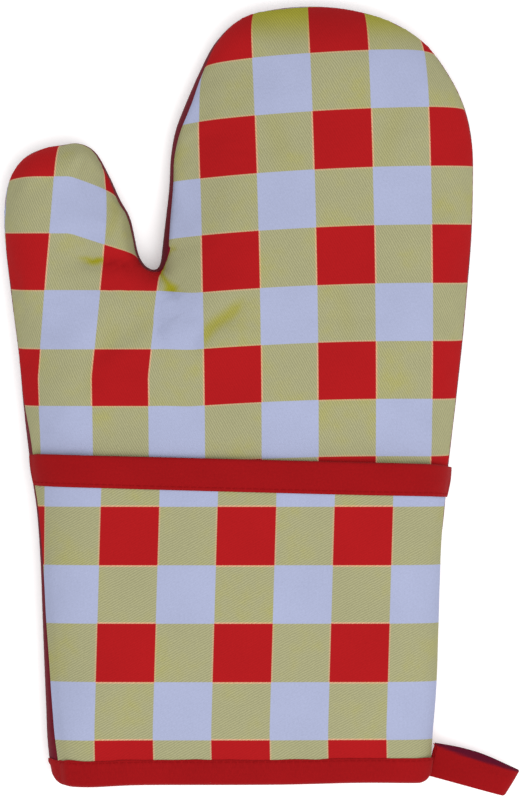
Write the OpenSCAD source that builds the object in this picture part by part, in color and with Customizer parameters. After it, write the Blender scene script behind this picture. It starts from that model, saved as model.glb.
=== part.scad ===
// Padded oven mitt with a checked face, a plain back, a bound cuff pocket and a hanging loop.
// It lies flat on its back: +Y runs to the fingertips, -X to the thumb, +Z up out of the checked face.

/* [Cloth] */
// Thickness of the outer cloth
cloth_t = 0.8; // [0.6:0.1:1.0]
// Thickness of the wadding, as it lies between the cloths
wadding_t = 4; // [3:0.5:5]
// Thickness of the lining cloth
lining_t = 0.5; // [0.4:0.1:0.8]
// Thickness of one leg of the folded bias tape
tape_t = 0.5; // [0.4:0.1:0.6]
// Thickness of the sewing thread
thread_d = 0.6; // [0.4:0.1:0.8]

/* [Hand space] */
// Height of the space for the hand
hand_space = 16; // [14:1:20]
// Share of that height that lies below the side seam
space_below = 0.3; // [0.25:0.05:0.4]
// How far the padding takes to round over from a seam to its full height
round_over = 30; // [26:1:32]

/* [Cuff pocket] */
// Place of the pocket's top edge along the mitt
pocket_top_y = -23.5; // [-40:0.5:-20]
// How far the pocket stands off the palm, in the middle of its mouth
pocket_gap = 5.6; // [5.2:0.2:8]
// Width of the tape over the pocket's top edge
pocket_tape_w = 15.2; // [12:0.2:18]

/* [Hem] */
// Width of the tape round the wrist opening
hem_tape_w = 12; // [10:0.5:14]

/* [Hanging loop] */
// Width of the loop's tape
loop_w = 14.4; // [10:0.2:16]
// Length of the loop from the seam
loop_l = 30.5; // [29:0.5:38]
// Radius of the loop's open eye
eye_r = 4.4; // [4:0.2:5]
// Turn of the loop away from straight out of the side seam
loop_turn = -15; // [-20:1:0]

/* [Hidden] */

// Colours
check_cloth = [0.68, 0.66, 0.50];
red_cloth = [0.69, 0.11, 0.13];
tape_red = [0.61, 0.09, 0.11];
wadding_white = [0.93, 0.92, 0.88];
lining_white = [0.86, 0.85, 0.82];
thread_red = [0.50, 0.07, 0.09];

// Clear gap between one layer and the next
layer_gap = 0.1;
// Clear gap between the palm and each of the two parts that bend away from it
bend_gap = 0.6;
// How far the wadding is trimmed back from the side seam
wadding_trim = 2.8;

// Depths of each layer below the outer surface, as [outer side, inner side]
shell_depth = [0, cloth_t];
wadding_depth = [cloth_t + layer_gap, cloth_t + layer_gap + wadding_t];
lining_depth = [wadding_depth[1] + layer_gap, wadding_depth[1] + layer_gap + lining_t];

// Heights: the mitt rests on the hem tape, and its seam runs round at seam_z
back_z = tape_t + layer_gap;
back_h = lining_depth[1] + space_below * hand_space;
front_h = lining_depth[1] + (1 - space_below) * hand_space;
seam_z = back_z + back_h;

// Layers of the pocket, outwards from the palm
pocket_lining_off = -(2 * layer_gap + tape_t);
pocket_panel_off = pocket_lining_off - lining_t - 3 * layer_gap;
pocket_tape_off = pocket_panel_off - cloth_t - layer_gap;
pocket_outer_off = pocket_tape_off - tape_t;

// The side edges of the cuff and palm, from the hem upwards
hem_y = -162;
left_edge = [[-89.6, hem_y], [-91.8, -135], [-93.5, -100], [-94.8, -65], [-97.5, -33], [-101, -5], [-104.2, 20]];
right_edge = [[70.5, hem_y], [73.2, -135], [75.2, -100], [76.4, -65], [79, -33], [82, 0], [85.4, 30]];

// The crotch between thumb and fingers is a small round notch, and both cuts run out from its centre
crotch = [-47.3, 59.6];
crotch_r = 4;
thumb_cut_turn = 204;
thumb_cut_dir = [cos(thumb_cut_turn), sin(thumb_cut_turn)];
finger_cut_dir = [1, 0];
thumb_cut_l = 62.6;
finger_cut_l = 135.8;

// The outline of the thumb and of the fingers, each from its left cut end over the tip to its right cut end
thumb_outer = [[-107.4, 52], [-109, 70], [-108.8, 88], [-103.4, 101.5], [-91, 108.4], [-77, 108.8],
    [-67.4, 102], [-60.6, 87], [-54.6, 70]];
finger_outer = [[-41.6, 76], [-39.6, 100], [-34, 124], [-24.6, 146], [-8, 162], [24.6, 167.3], [54.6, 161],
    [72, 149], [82.5, 131], [88.6, 112], [89.4, 92], [89, 74]];

// The line down the middle of the thumb and of the fingers, which the padding rounds up to
thumb_base = crotch + thumb_cut_dir * (crotch_r + thumb_cut_l) / 2;
thumb_spine = [thumb_base, [-85.5, 82]];
finger_base = crotch + finger_cut_dir * (crotch_r + finger_cut_l) / 2;
finger_spine = [finger_base, [24.4, 118]];
spine_share = 0.62;

// Profile of the rounded padding from seam to full height
round_steps = 5;
round_power = 2.2;
steps = [for (k = [0 : round_steps]) k];
function run_at(k) = 1 - pow(cos(90 * k / round_steps), 2 / round_power);
function rise_at(k) = pow(sin(90 * k / round_steps), 2 / round_power);

function unit(v) = v / norm(v);
function flip(list) = [for (k = [len(list) - 1 : -1 : 0]) list[k]];
function side_x(edge, y) = lookup(y, [for (p = edge) [p[1], p[0]]]);

// Triangles between two rows of point numbers, and the fill of a loop by rungs across it
function strip(a, b) = [
    for (k = [0 : len(a) - 2])
        for (half = [[a[k], a[k + 1], b[k + 1]], [a[k], b[k + 1], b[k]]])
            if (half[0] != half[1] && half[1] != half[2] && half[2] != half[0])
                half
];
function rungs_across(loop, rungs) = strip(
    [for (k = [0 : rungs - 1]) loop[k]],
    [for (k = [0 : rungs - 1]) loop[len(loop) - 1 - k]]
);

// The nearest point to p on the segment a-b
function nearest(p, a, b) = a + max(0, min(1, (p - a) * (b - a) / ((b - a) * (b - a)))) * (b - a);

// A smooth curve through every point, with one more point between each pair
function smooth(points) = [
    for (k = [0 : len(points) - 1])
        for (half = [0 : k < len(points) - 1 ? 1 : 0])
            half == 0 ? points[k] : (9 * (points[k] + points[k + 1])
                - points[max(0, k - 1)] - points[min(len(points) - 1, k + 2)]) / 16
];

// A rim sample is [point, unit vector inwards, reach of the rounding]
function rim_to(p, target) = [p, unit(target - p), min(round_over, spine_share * norm(target - p))];
function lobe_rim(outline, spine) = [
    for (k = [0 : len(outline) - 1])
        rim_to(outline[k], k == 0 || k == len(outline) - 1 ? spine[0] : nearest(outline[k], spine[0], spine[1]))
];

// The cuts, and a half gap to either side of each
thumb_cut_up = [-sin(thumb_cut_turn - 180), cos(thumb_cut_turn - 180)] * bend_gap / 2;
finger_cut_up = [0, bend_gap / 2];
thumb_cut_outer = crotch + thumb_cut_dir * thumb_cut_l;
thumb_cut_inner = crotch + thumb_cut_dir * crotch_r;
finger_cut_inner = crotch + finger_cut_dir * crotch_r;
finger_cut_outer = crotch + finger_cut_dir * finger_cut_l;

function shifted(samples, by) = [for (s = samples) [s[0] + by, s[1], s[2]]];
thumb_outline = smooth(concat([thumb_cut_outer], thumb_outer, [thumb_cut_inner]));
finger_outline = smooth(concat([finger_cut_inner], finger_outer, [finger_cut_outer]));
thumb_rims = [shifted(lobe_rim(thumb_outline, thumb_spine), thumb_cut_up)];
finger_rims = [shifted(lobe_rim(finger_outline, finger_spine), finger_cut_up)];

// The palm's three rims: its left side, the crotch and its right side
thumb_reach = spine_share * (thumb_cut_l - crotch_r) / 2;
palm_left = concat(
    [for (p = left_edge) [p, [1, 0], round_over]],
    [[thumb_cut_outer - thumb_cut_up, -thumb_cut_dir, thumb_reach]]
);
crotch_fan = 5;
palm_crotch = [
    for (k = [0 : crotch_fan])
        let (
            share = k / crotch_fan,
            turn = thumb_cut_turn + share * (360 - thumb_cut_turn),
            out = [cos(turn), sin(turn)],
            gap = k == 0 ? thumb_cut_up : k == crotch_fan ? finger_cut_up : [0, 0]
        )
        [crotch + crotch_r * out - gap, out, thumb_reach + share * (round_over - thumb_reach)]
];
palm_right = concat(
    [[finger_cut_outer - finger_cut_up, [-1, 0], round_over]],
    [for (p = flip(right_edge)) [p, [-1, 0], round_over]]
);
palm_rims = [palm_left, palm_crotch, palm_right];

// One ring point of a layer: trimmed in from the seam, at a depth, on the front (1) or the back (-1)
function ring_point(sample, k, trim, depth, side) = let (
        p = sample[0] + sample[1] * (trim + sample[2] * run_at(k)),
        h = side > 0 ? front_h : back_h
    )
    [p[0], p[1], seam_z + side * (h - depth) * rise_at(k)];

// A layer of cloth or wadding over one part of the mitt, between two depths below its outer surface.
// trims holds how far its outer and inner sides are trimmed in from the seam.
module layer(rims, trims, depths, side) {
    rings = round_steps + 1;
    starts = [for (c = 0, n = 0; c <= len(rims); n = n + (c < len(rims) ? len(rims[c]) : 0), c = c + 1) n];
    total = starts[len(rims)];
    points = [
        for (face = [0, 1])
            for (rim = rims)
                for (sample = rim)
                    for (k = steps)
                        ring_point(sample, k, trims[face], depths[face], side)
    ];
    function at(face, c, s, k) = face * total * rings + (starts[c] + s) * rings + k;
    sheets = [
        for (face = [0, 1])
            for (c = [0 : len(rims) - 1])
                for (s = [0 : len(rims[c]) - 2])
                    for (k = [0 : round_steps - 1])
                        let (quad = [at(face, c, s, k), at(face, c, s + 1, k), at(face, c, s + 1, k + 1), at(face, c, s, k + 1)])
                        for (half = [[quad[0], quad[1], quad[2]], [quad[0], quad[2], quad[3]]])
                            face == 0 ? half : flip(half)
    ];
    seam_strip = [
        for (c = [0 : len(rims) - 1])
            for (s = [0 : len(rims[c]) - 2])
                [at(1, c, s, 0), at(1, c, s + 1, 0), at(0, c, s + 1, 0), at(0, c, s, 0)]
    ];
    rungs = len(rims) == 1 ? ceil(total / 2) : len(rims[0]) - 1;
    crowns = [
        for (face = [0, 1])
            let (
                loop = [for (c = [0 : len(rims) - 1]) for (s = [0 : len(rims[c]) - 1]) at(face, c, s, round_steps)],
                rest = [for (k = [rungs - 1 : 1 : total - rungs]) loop[k]]
            )
            for (f = concat(rungs_across(loop, rungs), len(rest) > 2 ? [rest] : []))
                face == 0 ? f : flip(f)
    ];
    function arch(face, c) = let (next = (c + 1) % len(rims), last = len(rims[c]) - 1)
        concat([for (k = steps) at(face, c, last, k)], [for (k = flip(steps)) at(face, next, 0, k)]);
    cut_faces = [
        for (c = [0 : len(rims) - 1])
            for (f = strip(arch(1, c), arch(0, c)))
                f
    ];
    faces = concat(sheets, seam_strip, crowns, cut_faces);
    polyhedron(points, side > 0 ? faces : [for (f = faces) flip(f)]);
}

module shell(rims, side) {
    layer(rims, shell_depth, shell_depth, side);
}

module wadding(rims, side) {
    layer(rims, [wadding_trim, wadding_depth[1]], wadding_depth, side);
}

module lining(rims, side) {
    layer(rims, lining_depth, lining_depth, side);
}

// How far the pocket stands off the palm at a place along the mitt
lift_end_y = hem_y + hem_tape_w;
function lift(y) = y < lift_end_y ? 0 : pocket_gap * (1 - pow((pocket_top_y - min(y, pocket_top_y)) / (pocket_top_y - lift_end_y), 4));

// Columns of a band across the cuff: up over the left side, across, and down over the right side
columns = concat([for (k = steps) [0, k]], [for (k = flip(steps)) [1, k]]);
function band_point(y, off, column, side, raised) = let (
        reach = off + round_over * run_at(column[1]),
        h = side > 0 ? front_h + (raised ? lift(y) : 0) : back_h
    )
    [
        column[0] == 0 ? side_x(left_edge, y) + reach : side_x(right_edge, y) - reach,
        y,
        seam_z + side * (h - off) * rise_at(column[1])
    ];

// A band: profile points [y, offset] carried across the columns of the front, or right round the wrist
module band(profile, side = 1, raised = true) {
    n = len(profile);
    last = len(columns) - 1;
    points = [for (column = columns) for (p = profile) band_point(p[0], p[1], column, side, raised)];
    walls = [
        for (c = [0 : last - 1])
            for (k = [0 : n - 1])
                let (a = c * n + k, b = c * n + (k + 1) % n)
                for (half = [[a, b, b + n], [a, b + n, a + n]])
                    half
    ];
    near_end = [for (k = [n - 1 : -1 : 0]) k];
    far_end = [for (k = [0 : n - 1]) last * n + k];
    faces = concat(walls, rungs_across(near_end, n / 2), rungs_across(far_end, n / 2));
    polyhedron(points, side > 0 ? faces : [for (f = faces) flip(f)]);
}

// The same, right round the wrist opening, with a profile for the front and one for the back
module cuff(front_profile, back_profile) {
    n = len(front_profile);
    front_points = [for (column = columns) for (p = front_profile) band_point(p[0], p[1], column, 1, true)];
    under = [for (k = [1 : len(columns) - 2]) columns[len(columns) - 1 - k]];
    back_points = [for (column = under) for (p = back_profile) band_point(p[0], p[1], column, -1, false)];
    count = len(columns) + len(under);
    walls = [
        for (c = [0 : count - 1])
            for (k = [0 : n - 1])
                let (
                    next = (c + 1) % count,
                    a = c * n + k,
                    b = c * n + (k + 1) % n,
                    a2 = next * n + k,
                    b2 = next * n + (k + 1) % n
                )
                for (half = [[a, b, b2], [a, b2, a2]])
                    half
    ];
    polyhedron(concat(front_points, back_points), walls);
}

// Profile of a sheet along the mitt: [y, offset] down its inner side and back up its outer side
function sheet_profile(stations, inner_off, outer_off) = concat(
    [for (y = stations) [y, outer_off]],
    [for (y = flip(stations)) [y, inner_off]]
);

// Profile of a tape folded over an edge at edge_y, its legs over the offsets given, reaching to leg_y
function fold_profile(edge_y, leg_y, outer_off, inner_off) = let (toward = sign(leg_y - edge_y))
    [
        [leg_y, outer_off],
        [edge_y - toward * (layer_gap + tape_t), outer_off],
        [edge_y - toward * (layer_gap + tape_t), inner_off],
        [leg_y, inner_off],
        [leg_y, inner_off - tape_t],
        [edge_y - toward * layer_gap, inner_off - tape_t],
        [edge_y - toward * layer_gap, outer_off + tape_t],
        [leg_y, outer_off + tape_t]
    ];

// Profile of a run of thread
thread_sides = 6;
function thread_profile(y, off) = [
    for (k = [0 : thread_sides - 1])
        [y + cos(360 * k / thread_sides) * thread_d / 2, off + sin(360 * k / thread_sides) * thread_d / 2]
];

// A thread along a rim, in the open space between the cloth and the trimmed wadding
seam_thread_in = (cloth_t + wadding_trim) / 2;
module rim_thread(rim) {
    points = [
        for (sample = rim)
            let (centre = sample[0] + sample[1] * seam_thread_in)
            for (k = [0 : thread_sides - 1])
                let (
                    across = cos(360 * k / thread_sides) * thread_d / 2,
                    up = sin(360 * k / thread_sides) * thread_d / 2
                )
                [centre[0] + sample[1][0] * across, centre[1] + sample[1][1] * across, seam_z + up]
    ];
    last = len(rim) - 1;
    walls = [
        for (s = [0 : last - 1])
            for (k = [0 : thread_sides - 1])
                let (
                    a = s * thread_sides + k,
                    b = s * thread_sides + (k + 1) % thread_sides
                )
                for (half = [[a, b, b + thread_sides], [a, b + thread_sides, a + thread_sides]])
                    half
    ];
    ends = [
        [for (k = [thread_sides - 1 : -1 : 0]) k],
        [for (k = [0 : thread_sides - 1]) last * thread_sides + k]
    ];
    polyhedron(points, concat(walls, ends));
}

// The front: three layers, each in a palm, a thumb and a finger part
module front_shell_palm() {
    color(check_cloth) shell(palm_rims, 1);
}

module front_shell_thumb() {
    color(check_cloth) shell(thumb_rims, 1);
}

module front_shell_fingers() {
    color(check_cloth) shell(finger_rims, 1);
}

module front_wadding_palm() {
    color(wadding_white) wadding(palm_rims, 1);
}

module front_wadding_thumb() {
    color(wadding_white) wadding(thumb_rims, 1);
}

module front_wadding_fingers() {
    color(wadding_white) wadding(finger_rims, 1);
}

module front_lining_palm() {
    color(lining_white) lining(palm_rims, 1);
}

module front_lining_thumb() {
    color(lining_white) lining(thumb_rims, 1);
}

module front_lining_fingers() {
    color(lining_white) lining(finger_rims, 1);
}

// The back: the same three layers, flatter, under the seam
module back_shell_palm() {
    color(red_cloth) shell(palm_rims, -1);
}

module back_shell_thumb() {
    color(red_cloth) shell(thumb_rims, -1);
}

module back_shell_fingers() {
    color(red_cloth) shell(finger_rims, -1);
}

module back_wadding_palm() {
    color(wadding_white) wadding(palm_rims, -1);
}

module back_wadding_thumb() {
    color(wadding_white) wadding(thumb_rims, -1);
}

module back_wadding_fingers() {
    color(wadding_white) wadding(finger_rims, -1);
}

module back_lining_palm() {
    color(lining_white) lining(palm_rims, -1);
}

module back_lining_thumb() {
    color(lining_white) lining(thumb_rims, -1);
}

module back_lining_fingers() {
    color(lining_white) lining(finger_rims, -1);
}

// The side seam's thread, in the same three parts
module seam_thread_palm() {
    color(thread_red)
        for (rim = palm_rims)
            rim_thread(rim);
}

module seam_thread_thumb() {
    color(thread_red) rim_thread(thumb_rims[0]);
}

module seam_thread_fingers() {
    color(thread_red) rim_thread(finger_rims[0]);
}

// The cuff pocket: a checked panel and its lining over the palm's lower part, open at the top
pocket_stations = [hem_y, lift_end_y, -135, -118, -100, -82, -65, pocket_top_y - pocket_tape_w, pocket_top_y];

module pocket_panel() {
    color(check_cloth)
        band(sheet_profile(pocket_stations, pocket_panel_off, pocket_panel_off - cloth_t));
}

module pocket_lining() {
    color(lining_white)
        band(sheet_profile(pocket_stations, pocket_lining_off, pocket_lining_off - lining_t));
}

// Bias tape folded over the pocket's top edge
module pocket_binding() {
    color(tape_red)
        band(fold_profile(pocket_top_y, pocket_top_y - pocket_tape_w, pocket_outer_off, -layer_gap));
}

module pocket_binding_thread() {
    stitch_y = pocket_top_y - pocket_tape_w + 1.5;
    color(thread_red)
        band(thread_profile(stitch_y, pocket_outer_off - thread_d / 2 - layer_gap));
}

// Bias tape folded round the raw edge of the wrist opening
hem_inner_off = lining_depth[1] + layer_gap + tape_t;

module hem_binding() {
    color(tape_red)
        cuff(
            flip(fold_profile(hem_y, hem_y + hem_tape_w, pocket_outer_off, hem_inner_off)),
            flip(fold_profile(hem_y, hem_y + hem_tape_w, -(layer_gap + tape_t), hem_inner_off))
        );
}

module hem_binding_thread() {
    stitch_y = hem_y + hem_tape_w - 1.5;
    inside_off = hem_inner_off + thread_d / 2 + layer_gap;
    color(thread_red) {
        band(thread_profile(stitch_y, pocket_outer_off - thread_d / 2 - layer_gap));
        cuff(thread_profile(stitch_y, inside_off), thread_profile(stitch_y, inside_off));
    }
}

// The hanging loop: tape folded back on itself, with an open eye at its end
loop_root_y = -152;
loop_root_gap = 3;
loop_root_x = side_x(right_edge, loop_root_y) - pocket_outer_off + thread_d + loop_root_gap;
loop_tape_t = 2 * tape_t;

module loop_outline(inset) {
    hull() {
        translate([inset == 0 ? loop_tape_t : 3 * loop_tape_t, 0])
            circle(r = inset == 0 ? loop_tape_t : layer_gap, $fn = 24);
        translate([loop_l - eye_r, 0])
            circle(r = eye_r - inset, $fn = 40);
    }
}

module hanging_loop() {
    color(tape_red)
        translate([loop_root_x, loop_root_y, seam_z])
            rotate([0, 0, loop_turn])
                rotate([90, 0, 0])
                    linear_extrude(height = loop_w, center = true)
                        difference() {
                            loop_outline(0);
                            loop_outline(loop_tape_t);
                        }
}

// A bar of close stitches that holds the loop in the side seam
module loop_bartack() {
    bar_x = side_x(right_edge, loop_root_y) - pocket_outer_off + 2 * (layer_gap + thread_d);
    color(thread_red)
        translate([bar_x, loop_root_y, seam_z])
            rotate([90, 0, -atan2(right_edge[1][0] - right_edge[0][0], right_edge[1][1] - right_edge[0][1])])
                cylinder(d = thread_d, h = loop_w - 1, center = true, $fn = 24);
}

front_shell_palm();
front_shell_thumb();
front_shell_fingers();
front_wadding_palm();
front_wadding_thumb();
front_wadding_fingers();
front_lining_palm();
front_lining_thumb();
front_lining_fingers();
back_shell_palm();
back_shell_thumb();
back_shell_fingers();
back_wadding_palm();
back_wadding_thumb();
back_wadding_fingers();
back_lining_palm();
back_lining_thumb();
back_lining_fingers();
seam_thread_palm();
seam_thread_thumb();
seam_thread_fingers();
pocket_panel();
pocket_lining();
pocket_binding();
pocket_binding_thread();
hem_binding();
hem_binding_thread();
hanging_loop();
loop_bartack();
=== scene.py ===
import math

import bpy
import numpy as np
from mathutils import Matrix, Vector, geometry, noise


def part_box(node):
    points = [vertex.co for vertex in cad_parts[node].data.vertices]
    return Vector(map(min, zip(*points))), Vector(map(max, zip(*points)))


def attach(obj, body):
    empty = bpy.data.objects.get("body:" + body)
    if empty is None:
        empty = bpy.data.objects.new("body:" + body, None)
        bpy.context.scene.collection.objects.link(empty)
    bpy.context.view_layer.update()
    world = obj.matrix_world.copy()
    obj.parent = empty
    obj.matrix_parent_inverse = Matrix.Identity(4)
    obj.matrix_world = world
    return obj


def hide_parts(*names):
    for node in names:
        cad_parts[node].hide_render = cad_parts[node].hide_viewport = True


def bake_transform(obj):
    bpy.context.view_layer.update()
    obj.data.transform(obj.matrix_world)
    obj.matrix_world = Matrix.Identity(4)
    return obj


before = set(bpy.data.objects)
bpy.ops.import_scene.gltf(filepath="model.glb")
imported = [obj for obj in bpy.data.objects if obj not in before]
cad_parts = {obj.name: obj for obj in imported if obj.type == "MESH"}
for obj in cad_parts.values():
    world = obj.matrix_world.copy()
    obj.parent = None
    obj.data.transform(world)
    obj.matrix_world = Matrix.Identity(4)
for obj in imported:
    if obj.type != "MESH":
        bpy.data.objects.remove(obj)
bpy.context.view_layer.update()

bl_info = {
    "name": "Padded Oven Mitt",
    "version": (1, 0, 0),
    "blender": (4, 5, 0),
    "location": "3D View > Sidebar > Oven Mitt",
    "description": "Sews a padded oven mitt with a checked face, a cuff pocket, bias tape and a hanging loop",
    "category": "Object",
}

MM = 0.001

# Levels and edges that the design fixes
SEAM_Z = sum(corner.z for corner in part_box("seam_thread_palm")) / 2
FRONT_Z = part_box("front_shell_palm")[1].z
BACK_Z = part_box("back_shell_palm")[0].z
HEM_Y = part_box("front_shell_palm")[0].y
FRONT_H = FRONT_Z - SEAM_Z
BACK_H = SEAM_Z - BACK_Z
CLOTH_T = 0.8 * MM
WADDING_T = 4 * MM
LINING_T = 0.5 * MM
TAPE_T = 0.5 * MM
LAYER_GAP = 0.1 * MM
WADDING_DEPTH = (CLOTH_T + LAYER_GAP, CLOTH_T + LAYER_GAP + WADDING_T)
LINING_DEPTH = (WADDING_DEPTH[1] + LAYER_GAP, WADDING_DEPTH[1] + LAYER_GAP + LINING_T)

# The seam line of the mitt in mm, from the hem's left end over thumb and fingers to its right end: x, y, and
# how far the plain back cloth rolls over to the front there
OUTLINE = (
    (-89.6, -162, 4.0), (-91.0, -148, 4.2), (-91.5, -134, 3.6), (-92.2, -116, 2.9), (-93.1, -92, 2.3),
    (-94.0, -68, 1.9), (-95.5, -47, 1.5), (-97.6, -32, 1.3), (-99.6, -16, 1.2), (-101.4, 0, 0.2),
    (-103.0, 18, 0.1), (-105.0, 34, 0.1), (-107.0, 50, 0.1), (-108.6, 64, 0.1), (-109.3, 78, 0.1),
    (-107.6, 92, 0.1), (-101.2, 102.6, 0.1), (-92.2, 107.2, 0.1), (-84.6, 108.5, 0.1), (-77.6, 109.2, 0.2),
    (-70.6, 105.6, 0.4), (-64.6, 95.2, 0.5), (-60.0, 85.2, 0.6), (-56.0, 78.2, 0.6), (-54.0, 70.0, 0.4),
    (-52.4, 62.4, 0.4), (-49.8, 57.6, 0.4), (-46.8, 55.7, 0.4), (-44.4, 55.9, 0.6), (-43.0, 58.8, 1.6),
    (-42.3, 65.0, 2.2), (-41.0, 76.5, 1.7), (-39.4, 91.0, 1.3), (-38.8, 103.0, 1.2), (-36.8, 114.5, 1.8),
    (-32.0, 127.0, 1.9), (-26.9, 138.6, 1.1), (-19.6, 152.2, 0.4), (-8.5, 162.2, 0.1), (7.0, 166.3, 0.1),
    (24.6, 167.2, 0.1), (40.5, 165.2, 0.1), (55.5, 160.4, 0.1), (69.0, 151.6, 0.1), (79.2, 138.2, 0.1),
    (86.0, 124.0, 0.1), (89.2, 108.5, 0.1), (89.5, 90.0, 0.1), (88.8, 68.0, 0.1), (87.0, 46.0, 0.1),
    (85.2, 26.0, 0.1), (82.8, 4.0, 0.1), (80.8, -13.0, 0.1), (78.8, -30.0, 0.2), (77.4, -46.0, 0.9),
    (75.8, -62.0, 0.3), (75.0, -80.0, 0.1), (74.3, -100.0, 0.1), (73.3, -122.0, 0.1), (71.6, -144.0, 0.1),
    (70.0, -162, 0.1),
)
# Numbers of the outline points where the thumb's own pieces begin and end, and the right side's cuff begins
THUMB_START = 10
THUMB_END = 27
CUFF_START = -8

# Rounding of the padding, and how finely its cloth is divided
ROUND_OVER = 30 * MM
THUMB_ROUND_OVER = 18 * MM
ROUND_POWER = 2.2
LEAST_ROLL = 0.05 * MM
RINGS = 15
SAMPLE_STEP = 2.0 * MM
GRID_STEP = 2.4 * MM
CLEAR_OF_EDGES = 0.62 * GRID_STEP
# Heights between which the rounding turns level, so that the cuff's sides run straight into the hem
LEVEL_BY = (HEM_Y + 8 * MM, HEM_Y + 40 * MM)
# Where the rings would crowd, as at the fingertips, the reach is eased until they keep this share of a step
RING_SHARE = 0.3
EASE = 0.95
EASE_TRIES = 60

# How often the seam line, the way in from it, the reach and its easing are smoothed
SEAM_PASSES = 2
WAY_PASSES = 4
REACH_PASSES = 60
EASE_PASSES = 12

# What one step hands on to the next: the laid out form, and the materials under their own names
FORM = {}
MATERIALS = {}


def smoothstep(low, high, value):
    t = np.clip((np.asarray(value, float) - low) / (high - low), 0, 1)
    return t * t * (3 - 2 * t)


def bell(distance, width):
    return np.exp(-((distance / width) ** 2))


def near_hem(y, reach):
    """1 at the hem, easing to 0 at this reach above it."""
    return 1 - smoothstep(HEM_Y, HEM_Y + reach, y)


def unit(rows):
    """Each row as a vector of length 1."""
    return rows / np.linalg.norm(rows, axis=1)[:, None]


def lengths_along(points):
    """How far along a path each of its points lies."""
    return np.concatenate([[0], np.cumsum(np.linalg.norm(np.diff(points, axis=0), axis=1))])


def run_and_rise(angle):
    """Share of the way in, and share of the full height, on the padding's round side; angle in radians."""
    c, s = np.maximum(np.cos(angle), 0), np.sin(np.abs(angle))
    return 1 - c ** (2 / ROUND_POWER), s ** (2 / ROUND_POWER)


def angle_at(share):
    """The angle of the round side at a share of the way in."""
    return np.arccos(np.clip(1 - share, 0, 1) ** (ROUND_POWER / 2))


def spline_through(points, step):
    """Points about step apart on a smooth curve through the rows of points, and where each given row lies."""
    p = np.asarray(points, float)
    padded = np.vstack([2 * p[0] - p[1], p, 2 * p[-1] - p[-2]])
    rows, places = [], [0]
    for i in range(1, len(padded) - 2):
        a, b, c, d = padded[i - 1 : i + 3]
        count = max(2, int(round(np.linalg.norm((c - b)[:2]) / step)))
        t = (np.arange(count) / count)[:, None]
        rows.append(
            0.5 * (2 * b + (c - a) * t + (2 * a - 5 * b + 4 * c - d) * t**2 + (3 * b - a - 3 * c + d) * t**3)
        )
        places.append(places[-1] + count)
    rows.append(p[-1:])
    return np.vstack(rows), places


def smoothed(values, passes):
    v = np.array(values, float)
    for _ in range(passes):
        v[1:-1] = 0.25 * v[:-2] + 0.5 * v[1:-1] + 0.25 * v[2:]
    return v


def lay_out_rim():
    """The seam line's samples: place, inward direction, reach of the rounding and seam angle."""
    rim, places = spline_through(np.array(OUTLINE) * MM, SAMPLE_STEP)
    p = rim[:, :2]
    along = np.gradient(smoothed(p, SEAM_PASSES), axis=0)
    inward = smoothed(unit(np.stack([along[:, 1], -along[:, 0]], 1)), WAY_PASSES)
    level = np.stack([np.where(p[:, 0] < 0, 1.0, -1.0), np.zeros(len(p))], 1)
    turned = 1 - smoothstep(*LEVEL_BY, p[:, 1])
    turned[places[THUMB_START] : places[CUFF_START]] = 0
    inward = unit(inward * (1 - turned[:, None]) + level * turned[:, None])
    reach = np.full(len(p), ROUND_OVER)
    reach[places[THUMB_START + 2] : places[THUMB_END + 2]] = THUMB_ROUND_OVER
    reach = smoothed(reach, REACH_PASSES)
    way = np.diff(p, axis=0)
    for _ in range(EASE_TRIES):
        ring_way = np.diff(p + inward * reach[:, None], axis=0)
        tight = (ring_way * way).sum(1) < RING_SHARE * (way * way).sum(1)
        if not tight.any():
            break
        share = np.ones(len(p))
        share[:-1][tight] = EASE
        share[1:][tight] = EASE
        reach = reach * smoothed(share, EASE_PASSES)
    roll = np.clip(rim[:, 2], LEAST_ROLL, None)
    return {
        "p": p, "inward": inward, "reach": reach, "seam": angle_at(roll / reach),
        "thumb_start": places[THUMB_START], "thumb_end": places[THUMB_END],
    }


def ring_places(rim, angle):
    """The points of one ring, at an angle for each sample: above 0 on the front, below 0 on the back."""
    run, rise = run_and_rise(angle)
    xy = rim["p"] + rim["inward"] * (rim["reach"] * run)[:, None]
    height = np.where(angle >= 0, FRONT_H, -BACK_H)
    return np.column_stack([xy, SEAM_Z + height * rise])


def within(outline, places):
    """Which places lie inside a closed outline."""
    a, b = outline, np.roll(outline, -1, axis=0)
    x, y = places[:, :1], places[:, 1:]
    passes = (a[:, 1] > y) != (b[:, 1] > y)
    rise = np.where(a[:, 1] == b[:, 1], 1.0, b[:, 1] - a[:, 1])
    crossing = a[:, 0] + (y - a[:, 1]) / rise * (b[:, 0] - a[:, 0])
    return (passes & (x < crossing)).sum(axis=1) % 2 == 1


def even_grid(low, high):
    """Places in rows over the box from low to high, every second row half a step aside."""
    grid = []
    row = 0
    y = low[1]
    while y < high[1]:
        for x in np.arange(low[0] + (row % 2) * GRID_STEP / 2, high[0], GRID_STEP):
            grid.append((x, y))
        y += GRID_STEP * math.sqrt(3) / 2
        row += 1
    return np.array(grid)


def between(start, end):
    """Places about a grid step apart on the straight line between two points, without its ends."""
    count = int(np.linalg.norm(end - start) / GRID_STEP)
    return start + (end - start) * (np.arange(1, count) / count)[:, None]


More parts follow.
